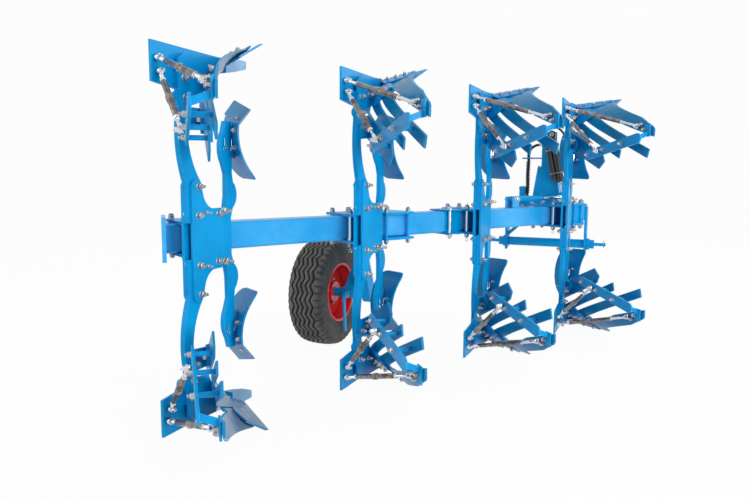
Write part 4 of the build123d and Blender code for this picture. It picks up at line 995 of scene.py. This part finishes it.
def wheel_arm_trim():
    """Gusset, pivot nut and scraper bolts on the wheel arm."""
    blue, steel = Sheets(), Sheets()
    gusset = [(-0.134, -0.030), (-0.134, 0.032), (-0.150, 0.046), (-0.176, 0.120),
              (-0.214, 0.205), (-0.250, 0.215), (-0.252, 0.120), (-0.226, 0.060),
              (-0.214, -0.030)]
    plate(blue, gusset, HUB_SPOT - AHEAD * 0.026, LEFT, UP, 0.052, ALONE, 0.003)
    bar(blue, HUB_SPOT - LEFT * 0.120, HUB_SPOT - LEFT * 0.140, 0.037, ALONE, 28)
    blue.make("arm_gusset", "wheel_arm", "frame_blue", BLUE)
    bolt(steel, ARM_PIVOT + LEFT * 0.277, LEFT, ALONE, 0.046)
    for z in (0.355, 0.380):
        bolt(steel, (1.508, -0.087, z), -LEFT, ALONE, 0.018)
    steel.make("arm_bolts", "wheel_arm", "zinc_steel", STEEL, 30)


def beam_trim():
    """Nuts on the clamps of the wheel arm and of the carrier, and the shaft's end nut."""
    steel = Sheets()
    for x in (-0.09, 0.09):
        for out in (-0.095, 0.105):
            spot = ARM_PIVOT + BEAM_WAY * x + BEAM_SIDE * out
            for way in (UP, -UP):
                bolt(steel, spot + way * 0.0853, way, ALONE, 0.028, 0.008)
    for x in (0.03, 0.13):
        spot = beam_middle(CARRIER_X) + BEAM_WAY * x - BEAM_SIDE * 0.087
        for way in (UP, -UP):
            bolt(steel, spot + way * 0.0903, way, ALONE, 0.034, 0.008)
    bolt(steel, (MAST_X + 0.13, TURN_Y, AXIS_Z), AHEAD, ALONE, 0.080)
    steel.make("beam_bolts", "plough_frame", "zinc_steel", STEEL, 30)


beam_sleeve()
headstock_trim()
hose_guard()
cylinder_trim()
wheel_arm_trim()
beam_trim()


# ------------------------------------------------------------------ stage, light and camera
WHITE = (1, 1, 1, 1)
LENS = 0.859              # focal length, in widths of the sensor


def seen(tree):
    """1 for what the camera sees, straight or in a mirroring surface."""
    ray = node(tree, "ShaderNodeLightPath")
    return reckon(tree, "MAXIMUM", ray.outputs["Is Camera Ray"], ray.outputs["Is Glossy Ray"])


def stage_floor():
    """Pale floor that curves up into a backdrop: a quarter circle joins the two.  It is 60 m
    wide and lies 2 mm below the plough's own ground."""
    steps = 60
    u = np.linspace(0, 1, steps)
    turn = np.maximum(u - 0.5, 0) * math.pi
    ahead = np.append(np.where(u < 0.5, -12 + 52 * u, 14 + 4 * np.sin(turn)), 18.0)
    rise = np.append(np.where(u < 0.5, 0.0, 4 - 4 * np.cos(turn)), 30.0)
    edges = [np.stack([ahead, np.full(steps + 1, y), rise - 0.002], -1) for y in (-30.0, 30.0)]
    p = np.stack(edges, 1)
    a = np.arange(steps) * 2
    faces = np.stack([a, a + 2, a + 3, a + 1], -1)
    mesh = bpy.data.meshes.new("floor")
    mesh.from_pydata(p.reshape(-1, 3).tolist(), [], faces.tolist())
    mesh.shade_smooth()
    floor = bpy.data.objects.new("floor", mesh)
    bpy.context.scene.collection.objects.link(floor)
    material, tree, shader = blank("pale_floor")
    shader.inputs["Base Color"].default_value = (0.86, 0.86, 0.86, 1)
    shader.inputs["Roughness"].default_value = 0.8
    shader.inputs["Specular IOR Level"].default_value = 0.2
    bright = node(tree, "ShaderNodeEmission", {"Color": WHITE, "Strength": 1.0})
    share = reckon(tree, "MULTIPLY", seen(tree), 0.95)
    mixed = node(tree, "ShaderNodeMixShader",
                 {0: share, 1: shader.outputs[0], 2: bright.outputs[0]})
    tree.links.new(mixed.outputs[0], first(tree, "OUTPUT_MATERIAL").inputs[0])
    mesh.materials.append(material)


def lamp(name, size, power, place, target):
    """Soft lamp, a rectangle aimed at a point and not seen itself."""
    data = bpy.data.lights.new(name, "AREA")
    data.shape = "RECTANGLE"
    data.size, data.size_y = size
    data.energy = power
    thing = bpy.data.objects.new(name, data)
    thing.visible_camera = False
    bpy.context.scene.collection.objects.link(thing)
    back = unit(np.array(place) - np.array(target))
    side = unit(np.cross(UP, back))
    up = np.cross(back, side)
    thing.matrix_world = Matrix(np.vstack([np.column_stack([side, up, back, place]),
                                           [0, 0, 0, 1]]).tolist())


def studio_world():
    """Even light from all round, seen as plain white."""
    world = bpy.data.worlds.new("studio")
    bpy.context.scene.world = world
    world.use_nodes = True
    tree = world.node_tree
    tree.nodes.clear()
    sky = node(tree, "ShaderNodeBackground", {"Color": WHITE, "Strength": 0.66})
    plain = node(tree, "ShaderNodeBackground", {"Color": WHITE, "Strength": 1.0})
    mixed = node(tree, "ShaderNodeMixShader",
                 {0: seen(tree), 1: sky.outputs[0], 2: plain.outputs[0]})
    node(tree, "ShaderNodeOutputWorld", {0: mixed.outputs[0]})


def camera(place, turn, tip, roll):
    """Camera at a place in the design, turned about the upright, tipped and rolled by
    degrees."""
    data = bpy.data.cameras.new("camera")
    data.sensor_width = 36.0
    data.lens = data.sensor_width * LENS
    data.clip_end = 200.0
    thing = bpy.data.objects.new("camera", data)
    bpy.context.scene.collection.objects.link(thing)
    turns = [Matrix.Rotation(math.radians(angle), 4, axis)
             for angle, axis in ((turn, "Z"), (tip, "X"), (roll, "Z"))]
    thing.matrix_world = Matrix.Translation(row(place)) @ turns[0] @ turns[1] @ turns[2]
    bpy.context.scene.camera = thing


stage_floor()
studio_world()
lamp("key", (5.0, 4.0), 170.0, (-3.5, -6.0, 5.0), (0.0, 0.0, 0.8))
lamp("near", (2.8, 1.9), 180.0, (-4.5, -6.3, 1.4), (-0.6, 0.6, 0.9))
lamp("fill", (5.0, 4.0), 60.0, (-5.0, 4.5, 3.0), (0.0, 0.0, 0.8))
lamp("front", (5.0, 4.0), 120.0, (5.5, -4.0, 4.5), (0.5, 0.0, 0.8))
camera((-2.43377, -1.97167, 1.18204), 23.048 - 90, 90 - 6.685, 0.325)
bpy.context.scene.view_settings.view_transform = "Standard"
